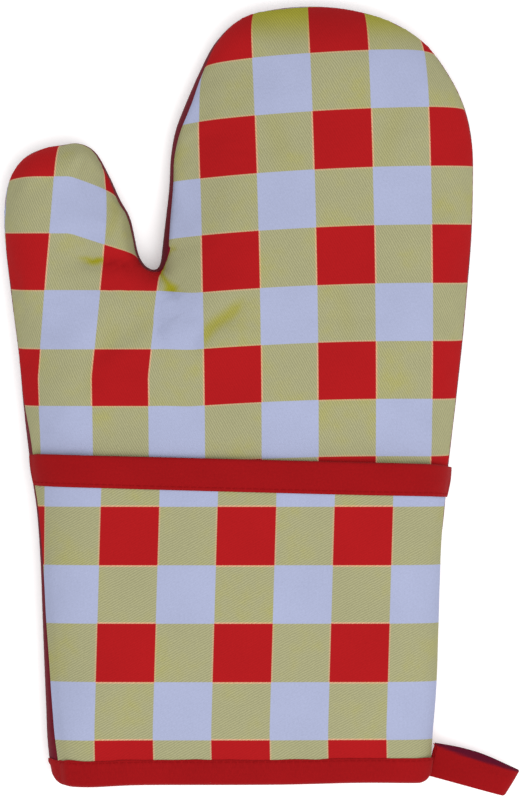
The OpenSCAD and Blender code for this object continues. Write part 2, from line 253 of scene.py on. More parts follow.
def lay_out_sheet(rim, side):
    """One side's cloth: its points and triangles, how far each place moves when it is laid flat, its hem
    and its thumb."""
    count = len(rim["p"])
    far = math.pi / 2 * side
    angles = [rim["seam"] + (far - rim["seam"]) * k / RINGS for k in range(RINGS + 1)]
    rings = [ring_places(rim, a) for a in angles]
    last = rings[-1]
    hem_row = between(last[-1], last[0])
    cut_row = between(last[rim["thumb_start"]], last[rim["thumb_end"]])
    loop = np.vstack([last, hem_row])
    grid = even_grid(loop[:, :2].min(0), loop[:, :2].max(0))
    fixed = np.vstack([loop, cut_row])[:, :2]
    clear = np.min(np.linalg.norm(grid[:, None] - fixed[None], axis=2), axis=1) > CLEAR_OF_EDGES
    grid = grid[clear & within(loop[:, :2], grid)]
    flat = np.vstack([loop[:, :2], cut_row[:, :2], grid])
    loop_ids = list(range(len(loop)))
    first_cut = len(loop)
    cut_ids = [rim["thumb_start"], *range(first_cut, first_cut + len(cut_row)), rim["thumb_end"]]
    edges = list(zip(cut_ids[:-1], cut_ids[1:]))
    cut_up = geometry.delaunay_2d_cdt([Vector(v) for v in flat], edges, [loop_ids], 1, 1e-7)
    faces, origins = cut_up[2:4]
    if any(not o for o in origins):
        raise RuntimeError("the mitt's outline crosses itself")
    back_to = [o[0] for o in origins]
    first_inner = RINGS * count
    plateau = FRONT_Z if side > 0 else BACK_Z
    inner = np.column_stack([flat, np.full(len(flat), plateau)])
    inner[: len(last)] = last
    points = np.vstack([*rings[:-1], inner])
    tris = []
    for k in range(RINGS):
        for s in range(count - 1):
            a, b = k * count + s, k * count + s + 1
            c, d = a + count, b + count
            tris += [(a, b, d), (a, d, c)] if (s + k) % 2 else [(a, b, c), (b, d, c)]
    tris += [tuple(first_inner + back_to[v] for v in face) for face in faces]
    tris = np.array(tris)
    # Every triangle is turned to face outwards; the rings' upright ones all go the way of the last ring's
    wrong = face_normals(points, tris)[:, 2] * side < 0
    per_ring = 2 * (count - 1)
    first_flat = RINGS * per_ring
    wrong[:first_flat] = wrong[first_flat - per_ring : first_flat].mean() > 0.5
    tris[wrong] = tris[wrong][:, ::-1]
    if len(np.unique(tris)) != len(points):
        raise RuntimeError("a point of the cloth is in no triangle")
    # Laid flat, the round side reaches further out than it does seen from above
    extra = np.zeros((len(points), 2))
    arc = np.zeros(count)
    for k in range(RINGS - 1, -1, -1):
        step = np.linalg.norm(rings[k] - rings[k + 1], axis=1)
        plan = np.linalg.norm((rings[k] - rings[k + 1])[:, :2], axis=1)
        arc += step - plan
        extra[k * count : (k + 1) * count] = -rim["inward"] * arc[:, None]
    ring_starts = np.arange(RINGS + 1) * count
    hem_ids = first_inner + len(last) + np.arange(len(hem_row))
    hem = np.concatenate([ring_starts, ring_starts + count - 1, hem_ids])
    return {
        "points": points, "tris": tris, "extra": extra, "side": side, "count": count, "hem": hem,
        "thumb": thumb_faces(tris, rim, [first_inner + i for i in cut_ids]),
    }


def edges_of(tri):
    return [frozenset((int(tri[k]), int(tri[(k + 1) % 3]))) for k in range(3)]


def thumb_faces(tris, rim, cut_ids):
    """Which triangles belong to the thumb: found by spreading from its tip, not crossing the cut."""
    count = len(rim["p"])
    barrier = set()
    for s in (rim["thumb_start"], rim["thumb_end"]):
        for k in range(RINGS):
            barrier.add(frozenset((k * count + s, (k + 1) * count + s)))
    for a, b in zip(cut_ids[:-1], cut_ids[1:]):
        barrier.add(frozenset((a, b)))
    by_edge = {}
    for face, tri in enumerate(tris):
        for edge in edges_of(tri):
            by_edge.setdefault(edge, []).append(face)
    tip = (rim["thumb_start"] + rim["thumb_end"]) // 2
    todo = [face for face, tri in enumerate(tris) if tip in tri]
    found = set(todo)
    while todo:
        for edge in edges_of(tris[todo.pop()]):
            fresh = [] if edge in barrier else [face for face in by_edge[edge] if face not in found]
            found.update(fresh)
            todo += fresh
    mask = np.zeros(len(tris), bool)
    mask[list(found)] = True
    if not 0.05 < mask.mean() < 0.4:
        raise RuntimeError("the cut between thumb and hand isn't closed")
    return mask


def face_normals(points, tris):
    """Each triangle's normal, twice as long as its area."""
    return np.cross(points[tris[:, 1]] - points[tris[:, 0]], points[tris[:, 2]] - points[tris[:, 0]])


def point_normals(points, tris):
    n = face_normals(points, tris)
    out = np.zeros_like(points)
    for k in range(3):
        np.add.at(out, tris[:, k], n)
    return out / np.maximum(np.linalg.norm(out, axis=1), 1e-12)[:, None]


def relaxed(points, tris, held, passes):
    """Evens out a cloth's points; held is how firmly each point stays, from 0 to 1."""
    p = points.copy()
    pairs = np.vstack([tris[:, [0, 1]], tris[:, [1, 2]], tris[:, [2, 0]]])
    pairs = np.unique(np.sort(pairs, axis=1), axis=0)
    degree = np.bincount(pairs.ravel(), minlength=len(p)).astype(float)[:, None]
    for _ in range(passes):
        total = np.zeros_like(p)
        np.add.at(total, pairs[:, 0], p[pairs[:, 1]])
        np.add.at(total, pairs[:, 1], p[pairs[:, 0]])
        p += (total / degree - p) * 0.5 * (1 - held)[:, None]
    return p


def plain_mesh(name, points, faces):
    mesh = bpy.data.meshes.new(name)
    mesh.from_pydata([tuple(map(float, v)) for v in points], [], [tuple(map(int, f)) for f in faces])
    mesh.update()
    return mesh


def new_object(name, mesh):
    obj = bpy.data.objects.new(name, mesh)
    bpy.context.scene.collection.objects.link(obj)
    return obj


def lay_cloth_on(mesh, places):
    """Gives a mesh its own map of places on the cloth, one place for each corner of its faces."""
    layer = mesh.uv_layers.new(name="cloth")
    layer.data.foreach_set("uv", places.ravel().astype(np.float32))
    mesh.polygons.foreach_set("use_smooth", np.ones(len(mesh.polygons), bool))


def corner_points(mesh):
    """The number of the point at each corner of a mesh's faces."""
    numbers = np.zeros(len(mesh.loops), int)
    mesh.loops.foreach_get("vertex_index", numbers)
    return numbers


def puffed(sheet, pinned, cap, pressure, slack, frames):
    """The sheet blown up from inside by a cloth simulation; cap is the most that each point may move."""
    obj = new_object("cloth_form", plain_mesh("cloth_form", sheet["points"], sheet["tris"]))
    group = obj.vertex_groups.new(name="sewn")
    for i in np.nonzero(pinned > 0)[0]:
        group.add([int(i)], float(pinned[i]), "REPLACE")
    cloth = obj.modifiers.new("cloth", "CLOTH")
    settings = cloth.settings
    settings.quality = 6
    settings.mass = 0.2
    settings.tension_stiffness = settings.compression_stiffness = 20
    settings.shear_stiffness = 8
    settings.bending_stiffness = 0.3
    settings.tension_damping = settings.compression_damping = 8
    settings.air_damping = 2
    settings.vertex_group_mass = "sewn"
    settings.use_pressure = True
    settings.uniform_pressure_force = pressure
    settings.shrink_min = -slack
    settings.effector_weights.gravity = 0
    cloth.collision_settings.use_collision = False
    scene = bpy.context.scene
    scene.frame_start, scene.frame_end = 1, frames
    cloth.point_cache.frame_start, cloth.point_cache.frame_end = 1, frames
    for f in range(1, frames + 1):
        scene.frame_set(f)
    evaluated = obj.evaluated_get(bpy.context.evaluated_depsgraph_get())
    moved = np.zeros(len(evaluated.data.vertices) * 3)
    evaluated.data.vertices.foreach_get("co", moved)
    moved = moved.reshape(-1, 3) - sheet["points"]
    bpy.data.objects.remove(obj)
    scene.frame_set(1)
    length = np.maximum(np.linalg.norm(moved, axis=1), 1e-9)
    print(f"cloth form moved {length.max() / MM:.1f} mm at most, {length.mean() / MM:.2f} on average")
    softly = cap * np.tanh(length / np.maximum(cap, 1e-9))
    return sheet["points"] + moved * (softly / length)[:, None]


# Creases in the checked face, in mm: each has its line, its depth and its width
CREASES = (
    (((-43.6, 55.2), (-42.5, 52.0), (-40.4, 49.4), (-37.6, 47.0), (-34.0, 45.0), (-25.6, 39.9)), 2.6, 2.4),
    (((-42.4, 57.0), (-40.6, 60.4), (-39.0, 63.6), (-34.4, 65.6)), 1.8, 2.2),
    (((-26.4, 24.6), (-20.6, 31.6), (-13.8, 36.4), (-8.6, 41.2), (-2.6, 44.6)), 1.3, 3.8),
    (((-46.0, 57.8), (-54.0, 58.2), (-62.0, 58.6), (-70.0, 59.0), (-82.0, 61.0)), 2.4, 2.0),
    (((-43.2, 44.0), (-43.0, 34.0), (-42.6, 22.0)), 1.3, 2.0),
    (((-64.6, 70.0), (-62.0, 80.0), (-66.4, 90.0)), 0.7, 3.6),
    (((24.0, 60.0), (34.0, 40.0), (38.0, 16.0)), 0.5, 6.0),
    (((-62.0, 30.0), (-70.0, 12.0), (-74.0, -6.0)), 0.6, 5.0),
    (((4.0, 120.0), (10.0, 96.0), (8.0, 70.0)), 0.5, 7.0),
    (((60.0, 128.0), (52.0, 104.0), (56.0, 82.0)), 0.5, 7.0),
)


def crease_depth(xy, scale):
    """How deep the creases press into the face at each place."""
    depth = np.zeros(len(xy))
    for line, deep, width in CREASES:
        path, _ = spline_through(np.array(line) * MM, 1.5 * MM)
        gap = np.linalg.norm(xy[:, None] - path[None], axis=2)
        nearest = gap.argmin(1)
        share = nearest / (len(path) - 1)
        fade = smoothstep(-0.4, 0.1, share) * smoothstep(1.02, 0.6, share)
        near = gap.min(1)
        ridge = 0.22 * bell(near - 2.6 * width * MM, 1.6 * width * MM)
        depth += scale * deep * MM * fade * (bell(near, width * MM) - ridge)
    return depth


def swell(xy, wavelength, seed):
    """A gentle, even unevenness of padded cloth, about -1 to 1."""
    offset = Vector((seed * 7.3, seed * 3.1, seed * 5.7))
    return np.array([
        noise.fractal(Vector((x / wavelength, y / wavelength, 0)) + offset, 1.0, 2.0, 2) for x, y in xy
    ])


# The hem: how far it lies aside and how far its cloths are cut back under the tape, the cuff's ends and
# its rounded corners, and its waves (place, width, height)
HEM_ASIDE = 0.85 * MM
HEM_CUT = 2.2 * MM
HEM_EASES = 26 * MM
CORNER_EASES = 12 * MM
CUFF_LEFT = -90.2 * MM
CUFF_RIGHT = 71.4 * MM
CORNER_R = 6.5 * MM
HEM_WAVES = ((-76 * MM, 15 * MM, -1.1 * MM), (44 * MM, 26 * MM, 0.9 * MM))


def hem_shape(points):
    """Rounds the cuff's lower corners and lets its hem wave a little; for every piece near the hem."""
    p = points.copy()
    x, y = p[:, 0], p[:, 1]
    inside = np.clip(np.minimum(x - CUFF_LEFT, CUFF_RIGHT - x), 0, CORNER_R)
    corner = CORNER_R - np.sqrt(np.maximum(CORNER_R**2 - (CORNER_R - inside) ** 2, 0))
    wave = sum(height * bell(x - place, width) for place, width, height in HEM_WAVES)
    share = near_hem(y, HEM_EASES)
    p[:, 0] = x + HEM_ASIDE * share
    p[:, 1] = y + (corner * near_hem(y, CORNER_EASES) + wave * share)
    return p


# Where the check lines fall on the mitt: each is 1, x, y, x*x, x*y and y*y in units of 100 mm
CHECKS_ACROSS = (4.01, 4.17, 0.03, -0.05, -0.06, 0.056)
CHECKS_DOWN = (5.98, 0.20, -4.18, -0.17, 0.10, 0.04)
CHECK_PITCH = 24 * MM
# In the same units: the lines run level left of LEVEL_LEFT_OF; from LEFT_SIDE on, those below the crotch and
# on the thumb lean and lift; and towards the crotch the thumb's tuck in
LEVEL_LEFT_OF = -0.45
LEFT_SIDE = (-0.28, -0.46)
THUMB_LEFT_OF = -0.475
CROTCH_HEIGHT = (0.56, 0.60)
LEAN = 0.52
LEAN_ABOVE = 0.10
LIFT = 0.055
LIFT_AGAIN = (0.15, 0.45)
TUCK = 1.35
TUCK_RIGHT_OF = -0.81
TUCK_HEIGHT = (0.46, 0.66)


def curved_lines(terms, x, y):
    one, across, up, across_twice, twisted, up_twice = terms
    return one + across * x + up * y + across_twice * x * x + twisted * x * y + up_twice * y * y


def check_places(xy, extra):
    """Places on the checked cloth, in checks across and down, for places on the mitt's front."""
    x, y = xy[:, 0] / 0.1, xy[:, 1] / 0.1
    across = curved_lines(CHECKS_ACROSS, x, y)
    down = curved_lines(CHECKS_DOWN, np.maximum(x, LEVEL_LEFT_OF), y)
    above = smoothstep(*CROTCH_HEIGHT, y)
    on_thumb = (x < THUMB_LEFT_OF).astype(float)
    left = smoothstep(*LEFT_SIDE, x) * (1 - above * (1 - on_thumb))
    lean = -LEAN * np.clip(y - LEAN_ABOVE, 0, None) * left
    tuck = -TUCK * np.clip(x - TUCK_RIGHT_OF, 0, None) * smoothstep(*TUCK_HEIGHT, y) * on_thumb
    lift = (LIFT + LIFT * smoothstep(*LIFT_AGAIN, y)) * left
    aside, further = (extra / CHECK_PITCH).T
    return np.column_stack([across + lean + aside, down + lift + tuck - further])


# Towards the fingertips, where the face rounds down, the cloth gets as much painted shade as in a fold this
# deep: the mixed squares yellower, all squares a little darker
TIP = (142 * MM, 168 * MM)
TIP_PAINTED_SHADE = 1.6 * MM

# The face swells this much at most, and only above the pocket; its pull at the seam is a shallow groove
PUFF_MOST = 4.5 * MM
PUFF_ABOVE = (-62 * MM, -18 * MM)
UNEVEN_ABOVE = (-40 * MM, -12 * MM)
UNEVEN_WAVE = 42 * MM
SEAM_GROOVE = 0.55 * MM
BESIDE_GROOVE = 0.12 * MM
SECOND_RING_HELD = 0.6


def make_form():
    """The mitt's two padded sides, front and back, as every layer follows them."""
    rim = lay_out_rim()
    FORM["rim"] = rim
    padding = bpy.context.scene.mitt_padding
    for side, name in ((1, "front"), (-1, "back")):
        sheet = lay_out_sheet(rim, side)
        p, tris = sheet["points"], sheet["tris"]
        seam, beside = slice(0, sheet["count"]), slice(sheet["count"], 2 * sheet["count"])
        pinned = np.zeros(len(p))
        pinned[seam] = 1
        pinned[beside] = SECOND_RING_HELD
        pinned[sheet["hem"]] = 1
        if side > 0:
            cap = PUFF_MOST * smoothstep(*PUFF_ABOVE, p[:, 1])
            base = relaxed(puffed(sheet, pinned, cap, pressure=5.0, slack=0.02, frames=24), tris, pinned, 2)
            open_face = smoothstep(*UNEVEN_ABOVE, base[:, 1])
            inside = smoothstep(SEAM_Z + 2 * MM, FRONT_Z - 3 * MM, base[:, 2])
            base[:, 2] += padding.unevenness * swell(base[:, :2], UNEVEN_WAVE, 3) * open_face * inside
            folds = crease_depth(base[:, :2], padding.crease_scale)
            sheet["press"] = folds * smoothstep(SEAM_Z, SEAM_Z + 4 * MM, base[:, 2])
            # The depth of the creases also sets the painted shade in them, which the shells carry as a point
            # mark; towards the fingertips more painted shade is added.
            sheet["folds"] = folds + TIP_PAINTED_SHADE * smoothstep(*TIP, base[:, 1])
            sheet["uv"] = check_places(base[:, :2], sheet["extra"])
        else:
            base = relaxed(p, tris, pinned, 2)
            sheet["folds"] = sheet["press"] = np.zeros(len(p))
            sheet["uv"] = (base[:, :2] + sheet["extra"]) / CHECK_PITCH
        pull = np.zeros((len(p), 3))
        pull[seam, :2] = rim["inward"] * SEAM_GROOVE
        pull[beside, :2] = rim["inward"] * BESIDE_GROOVE
        sheet["normals"] = point_normals(base, tris)
        sheet["normals"][seam] = np.pad(-rim["inward"], ((0, 0), (0, 1)))
        sheet["base"] = base + pull
        FORM[name] = sheet


def layer_points(sheet, depth, press_share):
    """The surface at a depth below one side's face; creases reach it by a share of their depth."""
    p = sheet["base"] - sheet["normals"] * depth
    p[:, 2] -= sheet["press"] * press_share * sheet["side"]
    lowest = SEAM_Z - WADDING_T if sheet["side"] > 0 else BACK_Z + depth
    p[:, 2] = np.maximum(p[:, 2], lowest)
    p[:, 1] += HEM_CUT * near_hem(p[:, 1], CORNER_EASES)
    return hem_shape(p)


def closed_layer(name, outer, inner, tris, uv, normals):
    """A closed solid between an outer and an inner surface, smooth where it joins its neighbour."""
    used = np.unique(tris)
    number = np.full(len(outer), -1)
    number[used] = np.arange(len(used))
    n = len(used)
    t = number[tris]
    directed = {(int(a), int(b)) for a, b in np.vstack([t[:, [0, 1]], t[:, [1, 2]], t[:, [2, 0]]])}
    rim_edges = sorted((a, b) for a, b in directed if (b, a) not in directed)
    walls = [(b, a, a + n, b + n) for a, b in rim_edges]
    faces = [tuple(f) for f in t] + [(f[2] + n, f[1] + n, f[0] + n) for f in t] + walls
    mesh = plain_mesh(name, np.vstack([outer[used], inner[used]]), faces)
    corners = corner_points(mesh)
    lay_cloth_on(mesh, uv[used][corners % n])
    shading = normals[used][corners % n] * np.where(corners < n, 1, -1)[:, None]
    flat = np.zeros(len(mesh.polygons) * 3)
    mesh.polygons.foreach_get("normal", flat)
    sides = 2 * len(t)
    shading[3 * sides :] = np.repeat(flat.reshape(-1, 3)[sides:], 4, axis=0)
    mesh.normals_split_custom_set([tuple(v) for v in shading])
    return new_object(name, mesh)


def bends(piece, part):
    """Bakes the piece's place into its mesh, alike for the thumb's pieces and the hand's."""
    if part == "thumb":
        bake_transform(piece)
    else:
        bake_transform(piece)


def mark_painted_shade(piece, depths):
    """Stores how much painted shade each point gets, which darkens and tints the cloth's colour; on the face
    it is how deep the point lies in a fold, in mm.
    """
    mark = piece.data.attributes.new("painted_shade", "FLOAT", "POINT")
    mark.data.foreach_set("value", depths.astype(np.float32))


def sew_layer(side, kind, depths, press, material):
    """The hand's and the thumb's piece of one layer on one side of the mitt."""
    sheet = FORM[side]
    outer = layer_points(sheet, depths[0], press[0])
    inner = layer_points(sheet, depths[1], press[1])
    normals = point_normals(outer, sheet["tris"])
    for part, ending, mask, node_ends in (
        ("hand", "", ~sheet["thumb"], ("palm", "fingers")),
        ("thumb", "_of_thumb", sheet["thumb"], ("thumb",)),
    ):
        tris = sheet["tris"][mask]
        used = np.unique(tris)
        piece = closed_layer(f"{side}_{kind}{ending}", outer, inner, tris, sheet["uv"], normals)
        piece.data.materials.append(material)
        # The checked face carries its painted fold shade as a point mark
        if kind == "shell":
            mark_painted_shade(piece, np.tile(sheet["folds"][used] / MM, 2))
        bends(piece, part)
        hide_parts(*(f"{side}_{kind}_{end}" for end in node_ends))


# The cuff pocket: its top edge, how far it and its cloths stand off the cuff, and how it meets the seams
POCKET_TOP_LEFT = (-97 * MM, -23.1 * MM)
POCKET_TOP_SLOPE = -0.031
POCKET_GAP = 5.2 * MM
POCKET_FLAT = 12 * MM
PANEL_OFF = (1.5 * MM, 2.3 * MM)
POCKET_LINING_OFF = (0.7 * MM, 1.2 * MM)
SEWN_IN = 6 * MM
OUT_AFTER = 22 * MM
POCKET_LEFT = -92 * MM
POCKET_RIGHT = 78 * MM
POCKET_ROWS = 64
ARC_STEPS = 26
FLAT_STEPS = 70
CUFF_COLUMNS = 2 * ARC_STEPS + FLAT_STEPS


def pocket_top(x):
    return POCKET_TOP_LEFT[1] + POCKET_TOP_SLOPE * (x - POCKET_TOP_LEFT[0])


def cuff_edges(y):
    """The seam's x on the left and the right of the cuff, and how far each seam lies in from the edge."""
    rim = FORM["rim"]
    p, roll = rim["p"], rim["reach"] * run_and_rise(rim["seam"])[0]
    count = rim["thumb_start"]
    edges = []
    for side in (slice(0, count), slice(None, -count - 1, -1)):
        x, height = p[side].T
        edges.append((np.interp(y, height, x), np.interp(y, height, roll[side])))
    return edges


def cuff_surface(y, off, gap):
    """The cuff's front along rows at heights y (rows, columns), this far off its shell and with a pocket gap:
    its places, its outward directions, and how much longer than its x the way to each place is."""
    (left, left_roll), (right, right_roll) = cuff_edges(y)
    arc = np.arange(ARC_STEPS) / ARC_STEPS
    share = np.concatenate([np.zeros(ARC_STEPS), np.linspace(0, 1, FLAT_STEPS), np.ones(ARC_STEPS)])
    climb = np.concatenate([arc, np.ones(FLAT_STEPS), arc[::-1]])
    roll = np.where(share < 0.5, left_roll, right_roll)
    first = angle_at(roll / ROUND_OVER)
    angle = first + (math.pi / 2 - first) * climb
    run, rise = run_and_rise(angle)
    x = (left + ROUND_OVER * run) * (1 - share) + (right - ROUND_OVER * run) * share
    z = SEAM_Z + (FRONT_H + gap) * rise
    dx, dz = np.gradient(x, axis=1), np.gradient(z, axis=1)
    length = np.maximum(np.hypot(dx, dz), 1e-9)
    nx, nz = -dz / length, dx / length
    step = np.hypot(np.diff(x, axis=1), np.diff(z, axis=1))
    arc_l = np.concatenate([np.zeros((len(x), 1)), np.cumsum(step, axis=1)], axis=1)
    # At the seams the cloths lie almost on the shell
    from_seam = np.minimum(arc_l, arc_l[:, -1:] - arc_l)
    rise_off = off * (0.15 + 0.85 * smoothstep(0, SEWN_IN, from_seam))
    out_off = off * (0.05 + 0.95 * smoothstep(2 * MM, OUT_AFTER, from_seam))
    middle = slice(CUFF_COLUMNS // 2, CUFF_COLUMNS // 2 + 1)
    stretch = (arc_l - arc_l[:, middle]) - (x - x[:, middle])
    places = np.stack([x + nx * out_off, y, z + nz * rise_off], -1)
    return places, np.stack([nx, np.zeros_like(nx), nz], -1), stretch


def pocket_rows():
    """The heights of the pocket's rows, and how far each place stands off the palm."""
    x = np.linspace(POCKET_LEFT, POCKET_RIGHT, CUFF_COLUMNS)
    low = HEM_Y + HEM_CUT
    y = low + np.linspace(0, 1, POCKET_ROWS)[:, None] * (pocket_top(x)[None] - low)
    # Most in the middle of its mouth, and nothing at the hem
    share = np.clip((y[-1:] - y) / (y[-1:] - HEM_Y - POCKET_FLAT), 0, 1)
    middle = 0.5 + 0.5 * bell(x + 12 * MM, 46 * MM)
    return y, POCKET_GAP * (1 - share**4) * middle[None]


def pocket_wave(points, normals, amount):
    """The panel's faint waves, always outwards."""
    flat = points.reshape(-1, 3)[:, :2]
    wave = (swell(flat, 34 * MM, 8) + 1) * 0.5
    edge = smoothstep(0, 30 * MM, flat[:, 1] - HEM_Y)
    return points + normals * (wave * edge * amount).reshape(points.shape[:2])[..., None]


def sheet_grid(rows, columns):
    tris = []
    for row in range(rows - 1):
        for column in range(columns - 1):
            a = row * columns + column
            d = a + columns
            tris += [(a, a + 1, d + 1), (a, d + 1, d)]
    return np.array(tris)


# The panel's checks: their size, where one corner lies, and how much their upright lines lean
PANEL_PITCH = 24.6 * MM
PANEL_CORNER = (-67.8 * MM, -44.5 * MM)
PANEL_LEAN = 0.029


def panel_checks(points, stretch):
    """Places on the checked cloth, which is turned a quarter turn on the pocket."""
    x, y = points[..., 0] + 0.3 * stretch, points[..., 1]
    across = (x - PANEL_CORNER[0] - PANEL_LEAN * (y + 42 * MM)) / PANEL_PITCH + 1
    down = (PANEL_CORNER[1] - y) / PANEL_PITCH + 1
    return np.stack([1 - down, across], -1).reshape(-1, 2)


def make_pocket(cloth, lining):
    """The panel and its lining, sewn to the cuff at its sides and hem."""
    y, lift = pocket_rows()
    tris = sheet_grid(*y.shape)
    for name, offs, material, slot, wave in (
        ("pocket_panel", PANEL_OFF, cloth, "checked_cloth", 0.7 * MM),
        ("pocket_lining", POCKET_LINING_OFF, lining, "lining", 0.5 * MM),
    ):
        surfaces = []
        for off in offs:
            places, normals, stretch = cuff_surface(y, off, lift)
            surfaces.append(pocket_wave(places, normals, wave))
        inner, outer = (hem_shape(surface.reshape(-1, 3)) for surface in surfaces)
        checks = panel_checks(surfaces[1], stretch)
        piece = closed_layer(name + "_cloth", outer, inner, tris, checks, point_normals(outer, tris))
        piece.data.materials.append(material)
        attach(piece, "hand")
        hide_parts(name)
        FORM[name] = surfaces


def tube_around(name, paths, closed):
    """A closed solid swept along a row of closed cross-sections: paths is (columns, profile, 3)."""
    columns, profile = paths.shape[:2]
    faces = []
    for here in range(columns if closed else columns - 1):
        there = (here + 1) % columns
        for k in range(profile):
            after = (k + 1) % profile
            near, far = here * profile, there * profile
            faces.append((near + k, near + after, far + after, far + k))
    if not closed:
        for base, turn in ((0, -1), ((columns - 1) * profile, 1)):
            for k in range(profile // 2 - 1):
                quad = (base + k, base + k + 1, base + profile - 2 - k, base + profile - 1 - k)
                faces.append(quad[::turn])
    mesh = plain_mesh(name, paths.reshape(-1, 3), faces)
    along, around = lengths_along(paths[:, 0]), lengths_along(paths[columns // 2])
    corners = corner_points(mesh)
    lay_cloth_on(mesh, np.column_stack([along[corners // profile], around[corners % profile]]) / CHECK_PITCH)
    a, b, c, d = (paths.reshape(-1, 3)[np.array(faces)[:, k]] for k in range(4))
    if (a * (np.cross(b, c) + np.cross(c, d))).sum() < 0:
        mesh.flip_normals()
    return new_object(name, mesh)


# Points along each leg of a folded tape
LEG_STEPS = 12


def tape_leg(length, out, side):
    """The outside of a folded tape's one leg, from its hem up to the fold, dented where it is stitched."""
    t = np.linspace(1, 0, LEG_STEPS)
    puff = 0.30 * MM * np.sin(np.pi * np.clip(t / 0.86, 0, 1)) - 0.10 * MM * bell(t - 0.88, 0.035)
    thick = TAPE_T * (0.55 + 0.45 * smoothstep(1.0, 0.985, t))
    return np.column_stack([t * length, side * (out + thick + puff)])


def tape_bow(out, steps):
    """The turn round the edge from front to back, this far out from the middle."""
    turn = np.linspace(0, np.pi, steps)[1:-1]
    return np.column_stack([-out * np.sin(turn), out * np.cos(turn)])


def fold_profile(front_leg, back_leg, out, steps=7):
    """A tape folded over an edge, as rows of (down from the edge, out from the middle).
    It runs from the front leg's hem up its outside, round the fold, and back along the inside."""
    legs = np.ones(LEG_STEPS)
    return np.vstack([
        tape_leg(front_leg, out, 1),
        tape_bow(out + TAPE_T, steps),
        tape_leg(back_leg, out, -1)[::-1],
        np.column_stack([np.linspace(back_leg, 0, LEG_STEPS), -out * legs]),
        tape_bow(out, steps)[::-1],
        np.column_stack([np.linspace(0, front_leg, LEG_STEPS), out * legs]),
    ])


# Room between a tape and what it binds, and how far down the tape its stitches lie
TAPE_ROOM = 0.08 * MM
STITCHED_AT = 0.885


def make_pocket_binding(material):
    """The tape over the pocket's top edge follows the panel's top row."""
    wide = bpy.context.scene.mitt_tape.pocket_width
    outer, inner = FORM["pocket_panel"][1], FORM["pocket_lining"][0]
    mid = (outer + inner) / 2
    edge = mid[-1]
    down = unit(mid[-8] - edge)
    normal = unit(np.cross(np.gradient(edge, axis=0), -down))
    half = np.linalg.norm(outer[-1] - inner[-1], axis=1) / 2
    sections = []
    for place, drop, out, thick in zip(edge, down, normal, half):
        profile = fold_profile(wide, wide - 0.6 * MM, thick + TAPE_ROOM)
        sections.append(place + drop * profile[:, :1] + out * profile[:, 1:])
    paths = np.array(sections)
    paths[0, :, 0] -= 0.3 * MM
    paths[-1, :, 0] += 0.3 * MM
    piece = tube_around("pocket_tape", paths, closed=False)
    piece.data.materials.append(material)
    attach(piece, "hand")
    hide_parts("pocket_binding")
    stitch = edge + down * (STITCHED_AT * wide) + normal * (half + TAPE_T + TAPE_ROOM)[:, None]
    FORM["pocket_stitch"] = stitch[2:-2]


def wrist_ring(y, front_off):
    """A ring round the cuff at height y: its points, outward directions, and how far the tape lies out."""
    rows = np.full((1, CUFF_COLUMNS), y)
    front = cuff_surface(rows, 0.0, np.zeros((1, CUFF_COLUMNS)))[0][0]
    (left, left_roll), (right, right_roll) = cuff_edges(y)
    arc = np.arange(1, ARC_STEPS + 1) / ARC_STEPS
    flat = np.linspace(0, 1, FLAT_STEPS)[1:-1]
    share = np.concatenate([np.ones(ARC_STEPS), 1 - flat, np.zeros(ARC_STEPS)])
    climb = np.concatenate([arc, np.ones(len(flat)), arc[::-1]])
    roll = np.where(share > 0.5, right_roll, left_roll)
    first = angle_at(roll / ROUND_OVER)
    angle = first + (-math.pi / 2 - first) * climb
    run, rise = run_and_rise(angle)
    height = np.where(angle >= 0, FRONT_H, -BACK_H)
    x = (left + ROUND_OVER * run) * (1 - share) + (right - ROUND_OVER * run) * share
    ring = np.vstack([front, np.column_stack([x, np.full(len(x), y), SEAM_Z + height * rise])])
    along = np.roll(ring, -1, axis=0) - np.roll(ring, 1, axis=0)
    normal = unit(np.column_stack([-along[:, 2], np.zeros(len(ring)), along[:, 0]]))
    arc_l = lengths_along(front)
    sewn = smoothstep(0, SEWN_IN, np.minimum(arc_l, arc_l[-1] - arc_l))
    return ring, normal, np.concatenate([front_off * sewn, np.zeros(len(x))])


# The hem tape: how far above the hem's line it turns, its turn's depth as a share of a half circle's, and
# the least height of its underside
TAPE_TURNS_AT = 1.5 * MM
TAPE_TURN = 0.32
LEAST_HEIGHT = 0.02 * MM


def make_hem_binding(material):
    """The tape round the wrist opening, over the pocket on the front and over the plain cloth on the back."""
    wide = bpy.context.scene.mitt_tape.hem_width
    y = HEM_Y + TAPE_TURNS_AT
    ring, normal, off = wrist_ring(y, PANEL_OFF[1])
    upper, _, _ = wrist_ring(y + wide, PANEL_OFF[1])
    lean = (upper - ring) / wide
    outer_n = off + TAPE_ROOM
    inner_n = LINING_DEPTH[1] + LAYER_GAP
    waver = swell(ring[:, :2] + ring[:, 2:], 9 * MM, 6)
    sections = []
    for place, up, out, front, uneven in zip(ring, lean, normal, outer_n, waver):
        profile = fold_profile(wide, wide, (front + inner_n) / 2, 13)
        down = profile[:, :1]
        rise = np.where(down < 0, down * TAPE_TURN, down * (1 + 0.05 * uneven))
        sections.append(place + up * rise + out * (profile[:, 1:] + (front - inner_n) / 2))
    paths = hem_shape(np.array(sections).reshape(-1, 3)).reshape(len(ring), -1, 3)
    paths[..., 2] = np.maximum(paths[..., 2], LEAST_HEIGHT)
    piece = tube_around("hem_tape", paths, closed=True)
    piece.data.materials.append(material)
    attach(piece, "hand")
    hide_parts("hem_binding")
    line = ring + lean * (STITCHED_AT * wide)
    outside = hem_shape(line + normal * (outer_n + TAPE_T)[:, None])
    inside = hem_shape(line - normal * (inner_n + TAPE_T))
    FORM["hem_stitch"] = outside[2 : CUFF_COLUMNS - 2]
    FORM["hem_stitch_inside"] = np.vstack([inside, inside[:1]])


